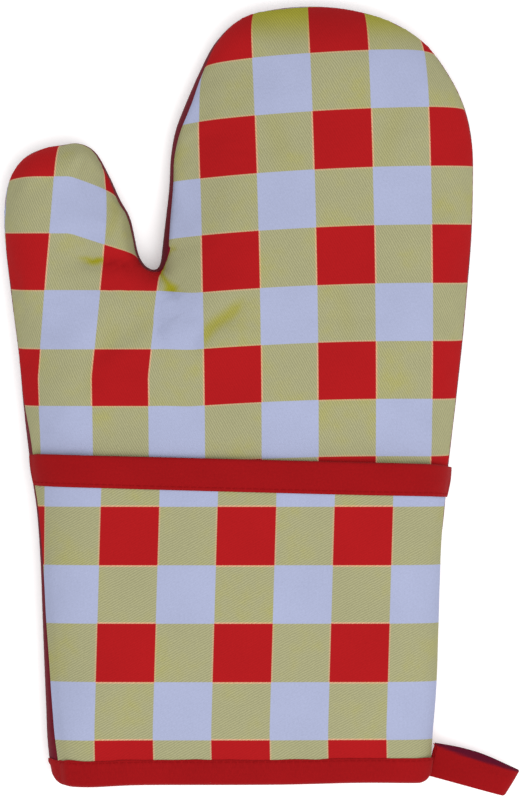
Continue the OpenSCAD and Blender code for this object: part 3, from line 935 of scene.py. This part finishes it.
def stitch_tree():
    """Geometry nodes that lay a row of stitches along an edge path."""
    tree = bpy.data.node_groups.new("row_of_stitches", "GeometryNodeTree")
    io = tree.interface
    io.new_socket("Geometry", in_out="INPUT", socket_type="NodeSocketGeometry")
    for name, size in (("Stitch Spacing", 2.9 * MM), ("Stitch Length", 2.5 * MM), ("Thread Width", 0.5 * MM)):
        io.new_socket(name, in_out="INPUT", socket_type="NodeSocketFloat").default_value = size
    io.new_socket("Thread", in_out="INPUT", socket_type="NodeSocketMaterial")
    io.new_socket("Geometry", in_out="OUTPUT", socket_type="NodeSocketGeometry")
    new = tree.nodes.new
    given, out = new("NodeGroupInput"), new("NodeGroupOutput")
    curve, even = new("GeometryNodeMeshToCurve"), new("GeometryNodeResampleCurve")
    points, place = new("GeometryNodeCurveToPoints"), new("GeometryNodeInstanceOnPoints")
    bead, size = new("GeometryNodeMeshUVSphere"), new("ShaderNodeCombineXYZ")
    shape, turn = new("GeometryNodeTransform"), new("FunctionNodeAlignRotationToVector")
    real, smooth = new("GeometryNodeRealizeInstances"), new("GeometryNodeSetShadeSmooth")
    paint = new("GeometryNodeSetMaterial")
    even.mode = "LENGTH"
    points.mode = "EVALUATED"
    turn.axis = "Z"
    bead.inputs["Segments"].default_value = 7
    bead.inputs["Rings"].default_value = 5
    bead.inputs["Radius"].default_value = 0.5
    for source, output, target, socket in (
        (given, "Geometry", curve, "Mesh"), (curve, "Curve", even, "Curve"),
        (given, "Stitch Spacing", even, "Length"), (even, "Curve", points, "Curve"),
        (given, "Thread Width", size, "X"), (given, "Thread Width", size, "Y"),
        (given, "Stitch Length", size, "Z"), (bead, "Mesh", shape, "Geometry"),
        (size, "Vector", shape, "Scale"), (points, "Points", place, "Points"),
        (points, "Tangent", turn, "Vector"), (shape, "Geometry", place, "Instance"),
        (turn, "Rotation", place, "Rotation"), (place, "Instances", real, "Geometry"),
        (real, "Geometry", smooth, "Geometry"), (smooth, "Geometry", paint, "Geometry"),
        (given, "Thread", paint, "Material"), (paint, "Geometry", out, "Geometry"),
    ):
        tree.links.new(source.outputs[output], target.inputs[socket])
    return tree


def stitched(name, paths, material, spacing=None, length=None, width=None):
    """A plain mesh of the stitches along one or more paths."""
    usual = bpy.context.scene.mitt_stitches
    points, edges = [], []
    for path in paths:
        edges += [(len(points) + k, len(points) + k + 1) for k in range(len(path) - 1)]
        points += [tuple(map(float, v)) for v in path]
    mesh = bpy.data.meshes.new(name + "_path")
    mesh.from_pydata(points, edges, [])
    row = new_object(name + "_path", mesh)
    modifier = row.modifiers.new("stitches", "NODES")
    tree = shared("row_of_stitches", stitch_tree)
    modifier.node_group = tree
    ids = {s.name: s.identifier for s in tree.interface.items_tree if s.in_out == "INPUT"}
    modifier[ids["Stitch Spacing"]] = spacing or usual.spacing
    modifier[ids["Stitch Length"]] = length or usual.length
    modifier[ids["Thread Width"]] = width or usual.width
    modifier[ids["Thread"]] = material
    bpy.context.view_layer.update()
    made = bpy.data.meshes.new_from_object(row.evaluated_get(bpy.context.evaluated_depsgraph_get()))
    row.modifiers.remove(modifier)
    bpy.data.objects.remove(row)
    made.name = name
    if not made.polygons:
        raise RuntimeError(f"no stitches were made for {name}")
    if not made.uv_layers:
        made.uv_layers.new(name="cloth")
    return new_object(name, made)


# How far in from the seam line its stitches lie
SEAM_ALLOWANCE = 1.5 * MM


def make_stitching(thread):
    """The rows of stitches on both tapes, and the seam's, split into a piece for the hand and one for the
    thumb.
    """
    for name, paths in (
        ("pocket_binding_thread", [FORM["pocket_stitch"]]),
        ("hem_binding_thread", [FORM["hem_stitch"], FORM["hem_stitch_inside"]]),
    ):
        piece = stitched(name.replace("thread", "stitches"), paths, thread)
        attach(piece, "hand")
        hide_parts(name)
    rim, sheet = FORM["rim"], FORM["front"]
    seam = sheet["base"][: sheet["count"]].copy()
    seam[:, :2] += rim["inward"] * SEAM_ALLOWANCE
    seam = hem_shape(seam)
    a, b = rim["thumb_start"], rim["thumb_end"]
    for name, paths, part, nodes in (
        ("seam_stitches", [seam[3 : a + 1], seam[b:-3]], "hand", ("seam_thread_palm", "seam_thread_fingers")),
        ("seam_stitches_of_thumb", [seam[a : b + 1]], "thumb", ("seam_thread_thumb",)),
    ):
        piece = stitched(name, paths, thread)
        bends(piece, part)
        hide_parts(*nodes)


# The hanging loop: where its root lies, its turn in the plane, its size, its eye, the bow of its upper edge,
# the ribs along its edges, how far its legs lie apart, and how much of its width each rounded edge takes
LOOP_ROOT = np.array((71.4, -151.6)) * MM
LOOP_TURN = math.radians(-15)
LOOP_W = 14.2 * MM
LOOP_L = 36.4 * MM
LOOP_EYE_R = 4.4 * MM
LOOP_TAPE_T = 1.0 * MM
LOOP_BOW = 1.2 * MM
LOOP_RIB = 0.06 * MM
LEGS_APART = 0.62 * MM
TAPE_EDGE = 0.03
BARTACK_STITCHES = 19


def loop_path():
    """The folded tape seen from its edge: along one leg, round the eye and back along the other."""
    eye = LOOP_L - LOOP_EYE_R
    r = LOOP_EYE_R - LOOP_TAPE_T / 2
    leg = np.linspace(0, 1, 26)
    height = LEGS_APART + (r - LEGS_APART) * smoothstep(0.1, 1.0, leg)
    turn = np.linspace(math.pi / 2, -math.pi / 2, 22)[1:-1]
    upper = np.column_stack([leg * eye, height])
    nose = np.column_stack([eye + r * np.cos(turn), r * np.sin(turn)])
    return np.vstack([upper, nose, (upper * (1, -1))[::-1]])


def tape_section():
    """The tape's cross-section with rounded edges, as rows of (share of its width, height)."""
    width = np.linspace(-0.5, 0.5, 17)
    past = np.clip((np.abs(width) - 0.5 + TAPE_EDGE) / TAPE_EDGE, 0, 1)
    top = np.column_stack([width, LOOP_TAPE_T / 2 * np.sqrt(1 - past**2)])
    return np.vstack([top, (top * (1, -1))[::-1]])


def loop_places(along, across):
    """Where places along and across the loop lie in x and y."""
    x = LOOP_ROOT[0] + along * math.cos(LOOP_TURN) - across * math.sin(LOOP_TURN)
    y = LOOP_ROOT[1] + along * math.sin(LOOP_TURN) + across * math.cos(LOOP_TURN)
    return x, y


def make_loop(material, thread):
    """Tape folded back on itself: its two legs part towards an open eye, and its upper edge curls down, with
    painted shade on a band below it.
    """
    path = loop_path()
    way = unit(np.gradient(path, axis=0))
    section = tape_section()
    from_lower = section[:, 0] + 0.5
    rib = LOOP_RIB * np.cos(np.clip(np.abs(section[:, 0]) - 0.36, 0, 0.14) / 0.14 * math.pi)
    swept, shaded = [], []
    for (l, h), (way_l, way_h) in zip(path, way):
        share = l / LOOP_L
        bow = math.sin(min(max(share, 0.0), 1.0) * math.pi)
        w = section[:, 0] * LOOP_W
        # A band below the upper edge, widest mid-way, gets painted shade through the point mark
        band = LOOP_W / 2 - (1.0 + 2.2 * bow) * MM
        shaded.append(smoothstep(band - 0.5 * MM, band + 0.7 * MM, w))
        # The upper edge curls down and in, the lower one stays, and the eye's end slants
        curl = np.clip(w - 0.5 * MM, 0, None) * smoothstep(0.15, 0.95, share)
        height = h + way_l * (section[:, 1] + np.sign(section[:, 1]) * rib) - curl * 0.42
        w = w - curl * 0.16 - 1.0 * MM * smoothstep(0.5, 1.0, share) * from_lower
        w = w + LOOP_BOW * bow * from_lower
        along = l - way_h * section[:, 1] + 0.30 * w * smoothstep(0.45, 1.0, share)
        swept.append(np.column_stack([*loop_places(along, w), SEAM_Z + height]))
    piece = tube_around("loop_tape", np.array(swept), closed=False)
    mark_painted_shade(piece, np.concatenate(shaded))
    piece.data.materials.append(material)
    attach(piece, "loop")
    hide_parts("hanging_loop")
    across = (np.arange(BARTACK_STITCHES) / (BARTACK_STITCHES - 1) - 0.5) * (LOOP_W - 1.4 * MM)
    along = np.where(np.arange(BARTACK_STITCHES) % 2, 1.6 * MM, 0.0)
    bar = np.column_stack([*loop_places(along, across), np.full(BARTACK_STITCHES, SEAM_Z + 1.3 * MM)])
    piece = stitched("bartack_stitches", [bar], thread, spacing=1.0 * MM, length=1.5 * MM, width=0.5 * MM)
    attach(piece, "hand")
    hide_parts("loop_bartack")


class Wiring:
    """Adds nodes to a tree and joins them; a value is a number, a colour or another node's output."""

    def __init__(self, tree):
        self.tree = tree

    def add(self, kind, **settings):
        node = self.tree.nodes.new(kind)
        for name, value in settings.items():
            setattr(node, name, value)
        return node

    def put(self, socket, value):
        if isinstance(value, bpy.types.NodeSocket):
            self.tree.links.new(value, socket)
        else:
            socket.default_value = value

    def math(self, operation, *values):
        node = self.add("ShaderNodeMath", operation=operation)
        for socket, value in zip(node.inputs, values):
            self.put(socket, value)
        return node.outputs[0]

    def step(self, value, low, high):
        node = self.add("ShaderNodeMapRange", interpolation_type="SMOOTHSTEP")
        for name, given in (("Value", value), ("From Min", low), ("From Max", high)):
            self.put(node.inputs[name], given)
        return node.outputs["Result"]

    def mix(self, share, a, b, how="MIX"):
        node = self.add("ShaderNodeMix", data_type="RGBA", blend_type=how)
        for index, given in ((0, share), (6, a), (7, b)):
            self.put(node.inputs[index], given)
        return node.outputs[2]

    def noise(self, place, scale, detail=2.0, rough=0.5):
        node = self.add("ShaderNodeTexNoise")
        self.put(node.inputs["Vector"], place)
        self.put(node.inputs["Scale"], scale)
        node.inputs["Detail"].default_value = detail
        node.inputs["Roughness"].default_value = rough
        return node.outputs["Fac"]

    def split(self, place):
        node = self.add("ShaderNodeSeparateXYZ")
        self.put(node.inputs[0], place)
        return node.outputs[0], node.outputs[1]

    def stretched(self, place, scale, turn=0.0):
        node = self.add("ShaderNodeMapping")
        self.put(node.inputs["Vector"], place)
        node.inputs["Scale"].default_value = scale
        node.inputs["Rotation"].default_value = (0, 0, turn)
        return node.outputs["Vector"]


def node_group(name, inputs, outputs):
    """A shader node group with named sockets: (name, kind, default) for each input."""
    tree = bpy.data.node_groups.new(name, "ShaderNodeTree")
    for title, kind, default in inputs:
        socket = tree.interface.new_socket(title, in_out="INPUT", socket_type="NodeSocket" + kind)
        if default is not None:
            socket.default_value = default
    for title, kind in outputs:
        tree.interface.new_socket(title, in_out="OUTPUT", socket_type="NodeSocket" + kind)
    wires = Wiring(tree)
    return wires, wires.add("NodeGroupInput").outputs, wires.add("NodeGroupOutput").inputs


TWILL_TURN = math.radians(61.5)


def make_twill():
    """Slanting lines of a twill weave, broken as real yarns are."""
    w, given, out = node_group(
        "twill",
        (("Place", "Vector", None), ("Pitch", "Float", 0.92 / 24)),
        (("Line", "Float"), ("Height", "Float")),
    )
    a, b = w.split(given["Place"])
    drift = w.noise(given["Place"], 5.0, 3.0, 0.6)
    across = w.math("MULTIPLY", a, math.sin(TWILL_TURN))
    along = w.math("MULTIPLY", b, math.cos(TWILL_TURN))
    slant = w.math("SUBTRACT", across, along)
    phase = w.math("DIVIDE", slant, given["Pitch"])
    phase = w.math("ADD", phase, w.math("MULTIPLY", drift, 1.2))
    wave = w.math("COSINE", w.math("MULTIPLY", phase, 2 * math.pi))
    yarn = w.noise(w.stretched(given["Place"], (1.0, 2.6, 1.0)), 34.0, 2.0, 0.6)
    line = w.math("ADD", w.math("MULTIPLY_ADD", wave, 0.36, 0.5), w.math("MULTIPLY_ADD", yarn, 1.1, -0.55))
    w.put(out["Line"], w.step(line, 0.15, 0.95))
    w.put(out["Height"], w.math("MULTIPLY_ADD", yarn, 0.5, w.math("MULTIPLY", wave, 0.35)))
    return w.tree


def make_plain_weave():
    """Over-and-under bumps of a plain weave."""
    w, given, out = node_group(
        "plain_weave",
        (("Place", "Vector", None), ("Threads", "Float", 40.0)),
        (("Height", "Float"), ("Gaps", "Float")),
    )
    a, b = w.split(given["Place"])
    turn = w.math("MULTIPLY", given["Threads"], math.pi)
    up = w.math("SINE", w.math("MULTIPLY", a, turn))
    side = w.math("SINE", w.math("MULTIPLY", b, turn))
    rough = w.noise(given["Place"], 60.0, 2.0)
    bump = w.math("MULTIPLY", up, side)
    w.put(out["Height"], w.math("MULTIPLY_ADD", rough, 0.6, w.math("MULTIPLY", bump, 0.5)))
    w.put(out["Gaps"], w.step(w.math("ABSOLUTE", bump), 0.25, 0.0))
    return w.tree


def make_mottle():
    """Cloth is never one even colour: broad patches and fine flecks, near 1."""
    w, given, out = node_group(
        "mottle",
        (("Place", "Vector", None), ("Patches", "Float", 0.1), ("Flecks", "Float", 0.1)),
        (("Shade", "Float"),),
    )
    broad = w.math("SUBTRACT", w.noise(given["Place"], 0.9, 3.0), 0.5)
    fine = w.math("SUBTRACT", w.noise(given["Place"], 26.0, 2.0, 0.7), 0.5)
    broad = w.math("MULTIPLY", broad, given["Patches"])
    fine = w.math("MULTIPLY", fine, given["Flecks"])
    w.put(out["Shade"], w.math("ADD", w.math("ADD", broad, fine), 1.0))
    return w.tree


def make_check_pattern():
    """White, red and mixed squares, with an orange thread line round the red ones."""
    w, given, out = node_group(
        "check_pattern",
        (
            ("Place", "Vector", None), ("White", "Color", (1, 1, 1, 1)), ("Red", "Color", (1, 0, 0, 1)),
            ("Mixed", "Color", (0.5, 0.5, 0.2, 1)), ("Fringe", "Color", (1, 0.4, 0.2, 1)),
        ),
        (("Color", "Color"), ("Mixed Mask", "Float"), ("Red Mask", "Float")),
    )
    fray = w.math("SUBTRACT", w.noise(given["Place"], 46.0, 2.0, 0.6), 0.5)
    a, b = w.split(given["Place"])
    bars = []
    for axis in (a, b):
        ping = w.math("PINGPONG", w.math("ADD", axis, 0.5), 1.0)
        bars.append(w.math("MULTIPLY_ADD", fray, 0.022, ping))
    even = [w.step(bar, 0.493, 0.507) for bar in bars]
    white = w.math("MULTIPLY", *even)
    reach = w.math("MAXIMUM", *bars)
    red = w.step(reach, 0.507, 0.495)
    ring = w.math("MULTIPLY", w.step(reach, 0.497, 0.505), w.step(reach, 0.531, 0.517))
    only_mixed = w.math("SUBTRACT", 1.0, white)
    colour = w.mix(white, given["Mixed"], given["White"])
    strength = w.math("MULTIPLY_ADD", w.math("GREATER_THAN", *bars), 0.4, 0.42)
    fringe = w.math("MULTIPLY", w.math("MULTIPLY", ring, only_mixed), strength)
    colour = w.mix(fringe, colour, given["Fringe"])
    colour = w.mix(red, colour, given["Red"])
    w.put(out["Color"], colour)
    w.put(out["Mixed Mask"], w.math("MULTIPLY", only_mixed, w.math("SUBTRACT", 1.0, red)))
    w.put(out["Red Mask"], red)
    return w.tree


def new_material(name):
    material = bpy.data.materials.new(name)
    MATERIALS[name] = material
    material.use_nodes = True
    tree = material.node_tree
    tree.nodes.clear()
    w = Wiring(tree)
    shader = w.add("ShaderNodeBsdfPrincipled")
    out = w.add("ShaderNodeOutputMaterial")
    w.put(out.inputs["Surface"], shader.outputs[0])
    return material, w, shader.inputs


def group_in(w, tree, **values):
    node = w.add("ShaderNodeGroup", node_tree=tree)
    for name, value in values.items():
        w.put(node.inputs[name.replace("_", " ")], value)
    return node.outputs


def shared(name, make):
    """A node group or tree that is made once, when it is first needed."""
    return bpy.data.node_groups.get(name) or make()


def cloth_place(w):
    return w.add("ShaderNodeUVMap", uv_map="cloth").outputs["UV"]


def bumped(w, height, depth, strength=1.0):
    node = w.add("ShaderNodeBump")
    w.put(node.inputs["Height"], height)
    node.inputs["Distance"].default_value = depth
    node.inputs["Strength"].default_value = strength
    return node.outputs["Normal"]


def matte(shader, sheen=0.1):
    """Cloth has hardly any shine, and a little sheen at its edges."""
    shader["Specular IOR Level"].default_value = 0.05
    shader["Roughness"].default_value = 0.93
    shader["Sheen Weight"].default_value = sheen
    shader["Sheen Roughness"].default_value = 0.5


def opaque(colour):
    return (*colour, 1.0)


def checked_cloth():
    looks = bpy.context.scene.mitt_cloth
    material, w, shader = new_material("checked_cloth")
    place = cloth_place(w)
    pattern = group_in(
        w, make_check_pattern(), Place=place, White=opaque(looks.white), Red=opaque(looks.red),
        Mixed=opaque(looks.mixed), Fringe=opaque(looks.fringe),
    )
    twill = group_in(w, make_twill(), Place=place)
    shade = group_in(w, shared("mottle", make_mottle), Place=place, Patches=0.16, Flecks=0.22)["Shade"]
    strong = w.math("MULTIPLY_ADD", pattern["Mixed Mask"], 0.26, 0.03)
    strong = w.math("MULTIPLY_ADD", pattern["Red Mask"], 0.05, strong)
    line = w.math("MULTIPLY_ADD", w.math("SUBTRACT", twill["Line"], 0.5), strong, 1.0)
    shade = w.math("MULTIPLY", shade, line)
    # Painted shade in the creases: by the shade mark the mixed squares turn to the shaded fold colour and the
    # whole cloth turns up to 12% darker. Broad random patches also tint the mixed squares, as tone that
    # differs at random.
    folded = w.add("ShaderNodeAttribute", attribute_name="painted_shade").outputs["Fac"]
    deep = w.step(folded, 0.05, 1.9)
    patchy = w.step(w.noise(place, 0.9, 4.0, 0.65), 0.46, 0.80)
    patches_and_fold_shade = w.math("MAXIMUM", w.math("MULTIPLY", patchy, 0.42), deep)
    colour = w.mix(w.math("MULTIPLY", patches_and_fold_shade, pattern["Mixed Mask"]), pattern["Color"], opaque(looks.folds))
    shade = w.math("MULTIPLY", shade, w.math("MULTIPLY_ADD", deep, -0.12, 1.0))
    w.put(shader["Base Color"], w.mix(1.0, colour, shade, "MULTIPLY"))
    w.put(shader["Normal"], bumped(w, twill["Height"], 0.05 * MM, 0.5))
    matte(shader, 0.0)
    return material


def woven_cloth(name, colour, folds, threads, patches, sheen):
    """A plain-woven cloth of one colour, turning to its second colour where painted shade is marked on its
    points.
    """
    material, w, shader = new_material(name)
    place = cloth_place(w)
    woven = group_in(w, shared("plain_weave", make_plain_weave), Place=place, Threads=threads)
    shade = group_in(w, shared("mottle", make_mottle), Place=place, Patches=patches, Flecks=0.35)["Shade"]
    shade = w.math("MULTIPLY_ADD", woven["Gaps"], -0.06, shade)
    painted_shade_share = w.add("ShaderNodeAttribute", attribute_name="painted_shade").outputs["Fac"]
    plain = w.mix(w.math("MULTIPLY", painted_shade_share, 0.8), opaque(colour), opaque(folds))
    w.put(shader["Base Color"], w.mix(1.0, plain, shade, "MULTIPLY"))
    w.put(shader["Normal"], bumped(w, woven["Height"], 0.08 * MM, 0.6))
    matte(shader, sheen)
    return material


def wadding_stuff():
    """Loose white fibres."""
    material, w, shader = new_material("wadding")
    place = w.add("ShaderNodeTexCoord").outputs["Object"]
    fibres = w.noise(w.stretched(place, (1.0, 0.3, 1.0), 0.6), 900.0, 4.0, 0.7)
    shade = w.math("MULTIPLY_ADD", fibres, 0.3, 0.8)
    white = opaque(bpy.context.scene.mitt_cloth.wadding)
    w.put(shader["Base Color"], w.mix(1.0, white, shade, "MULTIPLY"))
    w.put(shader["Normal"], bumped(w, fibres, 0.6 * MM))
    matte(shader, 0.3)
    return material


def sewing_thread():
    """Twisted thread in small strands."""
    material, w, shader = new_material("thread")
    place = w.add("ShaderNodeTexCoord").outputs["Object"]
    strands = w.noise(w.stretched(place, (1.0, 1.0, 0.4), 0.7), 1800.0, 2.0)
    shade = w.math("MULTIPLY_ADD", strands, 0.5, 0.75)
    red = opaque(bpy.context.scene.mitt_stitches.colour)
    w.put(shader["Base Color"], w.mix(1.0, red, shade, "MULTIPLY"))
    w.put(shader["Normal"], bumped(w, strands, 0.05 * MM))
    matte(shader, 0.0)
    return material


def colour_of(name, description, default):
    return bpy.props.FloatVectorProperty(
        name=name, description=description, default=default, subtype="COLOR", size=3, min=0.0, max=1.0
    )


def size_of(name, description, default, low, high):
    return bpy.props.FloatProperty(
        name=name, description=description, default=default, min=low, max=high,
        subtype="DISTANCE", unit="LENGTH", precision=4,
    )


def strength_of(name, description, default, high):
    return bpy.props.FloatProperty(
        name=name, description=description, default=default, min=0.0, max=high, subtype="FACTOR"
    )


class MittCloth(bpy.types.PropertyGroup):
    """Colours of the cloths and the wadding"""

    white: colour_of("White squares", "Colour of the checked cloth's white squares", (0.320, 0.349, 0.497))
    red: colour_of("Red squares", "Colour of the checked cloth's red squares", (0.335, 0.0080, 0.0098))
    mixed: colour_of("Mixed squares", "Colour where white and red threads cross", (0.303, 0.295, 0.163))
    # Painted shade: the colour that the mixed squares take in the creases and towards the fingertips; random
    # patches take it in part too
    folds: colour_of("Folds", "Colour of the mixed squares where they are folded", (0.315, 0.295, 0.016))
    fringe: colour_of("Fringe", "Colour of the thread line round the red squares", (0.62, 0.33, 0.20))
    # Painted shade in part: the back's red is darker than the tape's, so that the steep side strip where the
    # back shows looks shaded
    back: colour_of("Back", "Colour of the plain back cloth", (0.12, 0.004, 0.012))
    lining: colour_of("Lining", "Colour of the lining", (0.60, 0.585, 0.53))
    wadding: colour_of("Wadding", "Colour of the wadding", (0.68, 0.67, 0.63))


class MittPadding(bpy.types.PropertyGroup):
    """How the padded face lies"""

    crease_scale: strength_of("Creases", "How deep the creases are, where 1 is as sewn", 1.0, 2.0)
    unevenness: size_of("Unevenness", "How far the padded face rises and falls", 1.0 * MM, 0.0, 2 * MM)


class MittTape(bpy.types.PropertyGroup):
    """Colours and widths of the bias tape"""

    colour: colour_of("Tape", "Colour of the bias tape", (0.262, 0.0050, 0.0066))
    # Painted shade: dark purple on the loop's curled-down upper edge, where it turns away from the light
    folds: colour_of("Tape in folds", "Colour of the tape where it is folded over", (0.035, 0.004, 0.018))
    pocket_width: size_of("Pocket tape", "How much of the pocket it covers", 12.4 * MM, 8 * MM, 16 * MM)
    hem_width: size_of("Hem tape", "How much of the wrist's edge it covers", 9.4 * MM, 8 * MM, 11.5 * MM)


class MittStitches(bpy.types.PropertyGroup):
    """Colour and size of the stitches"""

    colour: colour_of("Thread", "Colour of the sewing thread", (0.25, 0.0048, 0.0063))
    spacing: size_of("Spacing", "From one stitch's start to the next", 2.9 * MM, 1.5 * MM, 6 * MM)
    length: size_of("Length", "Length of one stitch", 2.5 * MM, 1 * MM, 5 * MM)
    width: size_of("Width", "Thickness of the thread", 0.5 * MM, 0.3 * MM, 1 * MM)


class MittStage(bpy.types.PropertyGroup):
    """The floor and the lights"""

    floor: colour_of("Floor", "Colour of the floor", (0.93, 0.93, 0.93))
    glow: strength_of("Floor glow", "Light that the floor gives off itself", 0.25, 1.0)
    sky: strength_of("Fill light", "Strength of the even light from all sides", 0.78, 3.0)
    lamp: strength_of("Soft light", "Brightness that the soft light gives a white floor", 0.78, 3.0)


class MITT_OT_form(bpy.types.Operator):
    """Lays out the padded form that every layer follows"""

    bl_idname = "mitt.form"
    bl_label = "Lay out the form"

    def execute(self, context):
        make_form()
        return {"FINISHED"}


class MITT_OT_shells(bpy.types.Operator):
    """Sews the checked face and the plain back"""

    bl_idname = "mitt.shells"
    bl_label = "Sew the shells"

    def execute(self, context):
        red = context.scene.mitt_cloth.back
        cloth = checked_cloth()
        back = woven_cloth("red_cloth", red, red, threads=40.0, patches=0.3, sheen=0.05)
        sew_layer("front", "shell", (0.0, CLOTH_T), (1.0, 1.0), cloth)
        sew_layer("back", "shell", (0.0, CLOTH_T), (1.0, 1.0), back)
        return {"FINISHED"}


class MITT_OT_wadding(bpy.types.Operator):
    """Lays the wadding behind both shells"""

    bl_idname = "mitt.wadding"
    bl_label = "Lay the wadding"

    def execute(self, context):
        stuff = wadding_stuff()
        for side in ("front", "back"):
            sew_layer(side, "wadding", WADDING_DEPTH, (0.9, 0.3), stuff)
        return {"FINISHED"}


class MITT_OT_lining(bpy.types.Operator):
    """Sews the lining into both sides"""

    bl_idname = "mitt.lining"
    bl_label = "Sew the lining"

    def execute(self, context):
        pale = context.scene.mitt_cloth.lining
        lining = woven_cloth("lining", pale, pale, threads=36.0, patches=0.1, sheen=0.05)
        for side in ("front", "back"):
            sew_layer(side, "lining", LINING_DEPTH, (0.3, 0.3), lining)
        return {"FINISHED"}


class MITT_OT_pocket(bpy.types.Operator):
    """Sews the checked pocket panel and its lining over the cuff"""

    bl_idname = "mitt.pocket"
    bl_label = "Sew the pocket"

    def execute(self, context):
        make_pocket(MATERIALS["checked_cloth"], MATERIALS["lining"])
        return {"FINISHED"}


class MITT_OT_bindings(bpy.types.Operator):
    """Folds bias tape over the pocket's edge and round the wrist opening"""

    bl_idname = "mitt.bindings"
    bl_label = "Bind the edges"

    def execute(self, context):
        looks = context.scene.mitt_tape
        tape = woven_cloth("bias_tape", looks.colour, looks.folds, threads=44.0, patches=0.26, sheen=0.02)
        make_pocket_binding(tape)
        make_hem_binding(tape)
        return {"FINISHED"}


class MITT_OT_stitches(bpy.types.Operator):
    """Stitches the bindings and the side seam"""

    bl_idname = "mitt.stitches"
    bl_label = "Stitch the seams"

    def execute(self, context):
        make_stitching(sewing_thread())
        return {"FINISHED"}


class MITT_OT_loop(bpy.types.Operator):
    """Folds the hanging loop and sews it on with a bartack"""

    bl_idname = "mitt.loop"
    bl_label = "Sew on the loop"

    def execute(self, context):
        make_loop(MATERIALS["bias_tape"], MATERIALS["thread"])
        return {"FINISHED"}


# The stage: a large soft lamp above, and a camera far above with a long lens, which fit the whole mitt
FLOOR_HALF = 3.0
LAMP_HEIGHT = 1.6
LAMP_SIZE = 1.3
LAMP_ASIDE = (0.30, -0.42)
LENS = 350
SENSOR = 36
PICTURE_HEIGHT = 338.9 * MM
PICTURE_MIDDLE = (0.2 * MM, 0.42 * MM)
PICTURE_LEVEL = 11 * MM
FLOOR_Z = -0.3 * MM


class MITT_OT_stage(bpy.types.Operator):
    """Sets the plain floor, the soft light and the camera"""

    bl_idname = "mitt.stage"
    bl_label = "Set the stage"

    def execute(self, context):
        scene = context.scene
        looks = scene.mitt_stage
        corners = [(x * FLOOR_HALF, y * FLOOR_HALF, FLOOR_Z) for x, y in ((-1, -1), (1, -1), (1, 1), (-1, 1))]
        floor = new_object("floor", plain_mesh("floor", corners, [(0, 1, 2, 3)]))
        material, _, shader = new_material("floor")
        shader["Base Color"].default_value = opaque(looks.floor)
        shader["Roughness"].default_value = 0.9
        shader["Specular IOR Level"].default_value = 0.0
        shader["Emission Color"].default_value = (1, 1, 1, 1)
        shader["Emission Strength"].default_value = looks.glow
        floor.data.materials.append(material)
        world = bpy.data.worlds.new("soft_room")
        world.use_nodes = True
        sky = world.node_tree.nodes["Background"].inputs
        sky["Color"].default_value = (1, 1, 1, 1)
        sky["Strength"].default_value = looks.sky
        scene.world = world
        lamp = bpy.data.lights.new("soft_light", "AREA")
        lamp.shape = "SQUARE"
        lamp.size = LAMP_SIZE
        lamp.energy = looks.lamp * math.pi**2 * LAMP_HEIGHT**2
        holder = bpy.data.objects.new("soft_light", lamp)
        holder.location = (*LAMP_ASIDE, LAMP_HEIGHT)
        holder.rotation_euler = (-holder.location).to_track_quat("-Z", "Y").to_euler()
        scene.collection.objects.link(holder)
        camera = bpy.data.cameras.new("camera")
        camera.lens = LENS
        camera.sensor_width = SENSOR
        camera.clip_start = 0.05
        camera.clip_end = 20
        seat = bpy.data.objects.new("camera", camera)
        seat.location = (*PICTURE_MIDDLE, PICTURE_LEVEL + PICTURE_HEIGHT * LENS / SENSOR)
        scene.collection.objects.link(seat)
        scene.camera = seat
        scene.view_settings.view_transform = "Standard"
        return {"FINISHED"}


STEPS = (
    MITT_OT_form, MITT_OT_shells, MITT_OT_wadding, MITT_OT_lining, MITT_OT_pocket, MITT_OT_bindings,
    MITT_OT_stitches, MITT_OT_loop, MITT_OT_stage,
)
GROUPS = {
    "mitt_cloth": MittCloth, "mitt_padding": MittPadding, "mitt_tape": MittTape,
    "mitt_stitches": MittStitches, "mitt_stage": MittStage,
}


class MITT_PT_panel(bpy.types.Panel):
    """Lists the mitt's settings and steps"""

    bl_idname = "MITT_PT_panel"
    bl_label = "Oven Mitt"
    bl_space_type = "VIEW_3D"
    bl_region_type = "UI"
    bl_category = "Oven Mitt"

    def draw(self, context):
        for name in GROUPS:
            group = getattr(context.scene, name)
            box = self.layout.box()
            for key in group.__annotations__:
                box.prop(group, key)
        for step in STEPS:
            self.layout.operator(step.bl_idname)


def register():
    for cls in (*GROUPS.values(), *STEPS, MITT_PT_panel):
        bpy.utils.register_class(cls)
    for name, cls in GROUPS.items():
        setattr(bpy.types.Scene, name, bpy.props.PointerProperty(type=cls))


def unregister():
    for name in GROUPS:
        delattr(bpy.types.Scene, name)
    for cls in (MITT_PT_panel, *reversed(STEPS), *GROUPS.values()):
        bpy.utils.unregister_class(cls)


def main():
    register()
    for step in STEPS:
        group, name = step.bl_idname.split(".")
        if getattr(getattr(bpy.ops, group), name)() != {"FINISHED"}:
            raise RuntimeError(f"{step.bl_label} didn't finish")


if __name__ == "__main__":
    main()
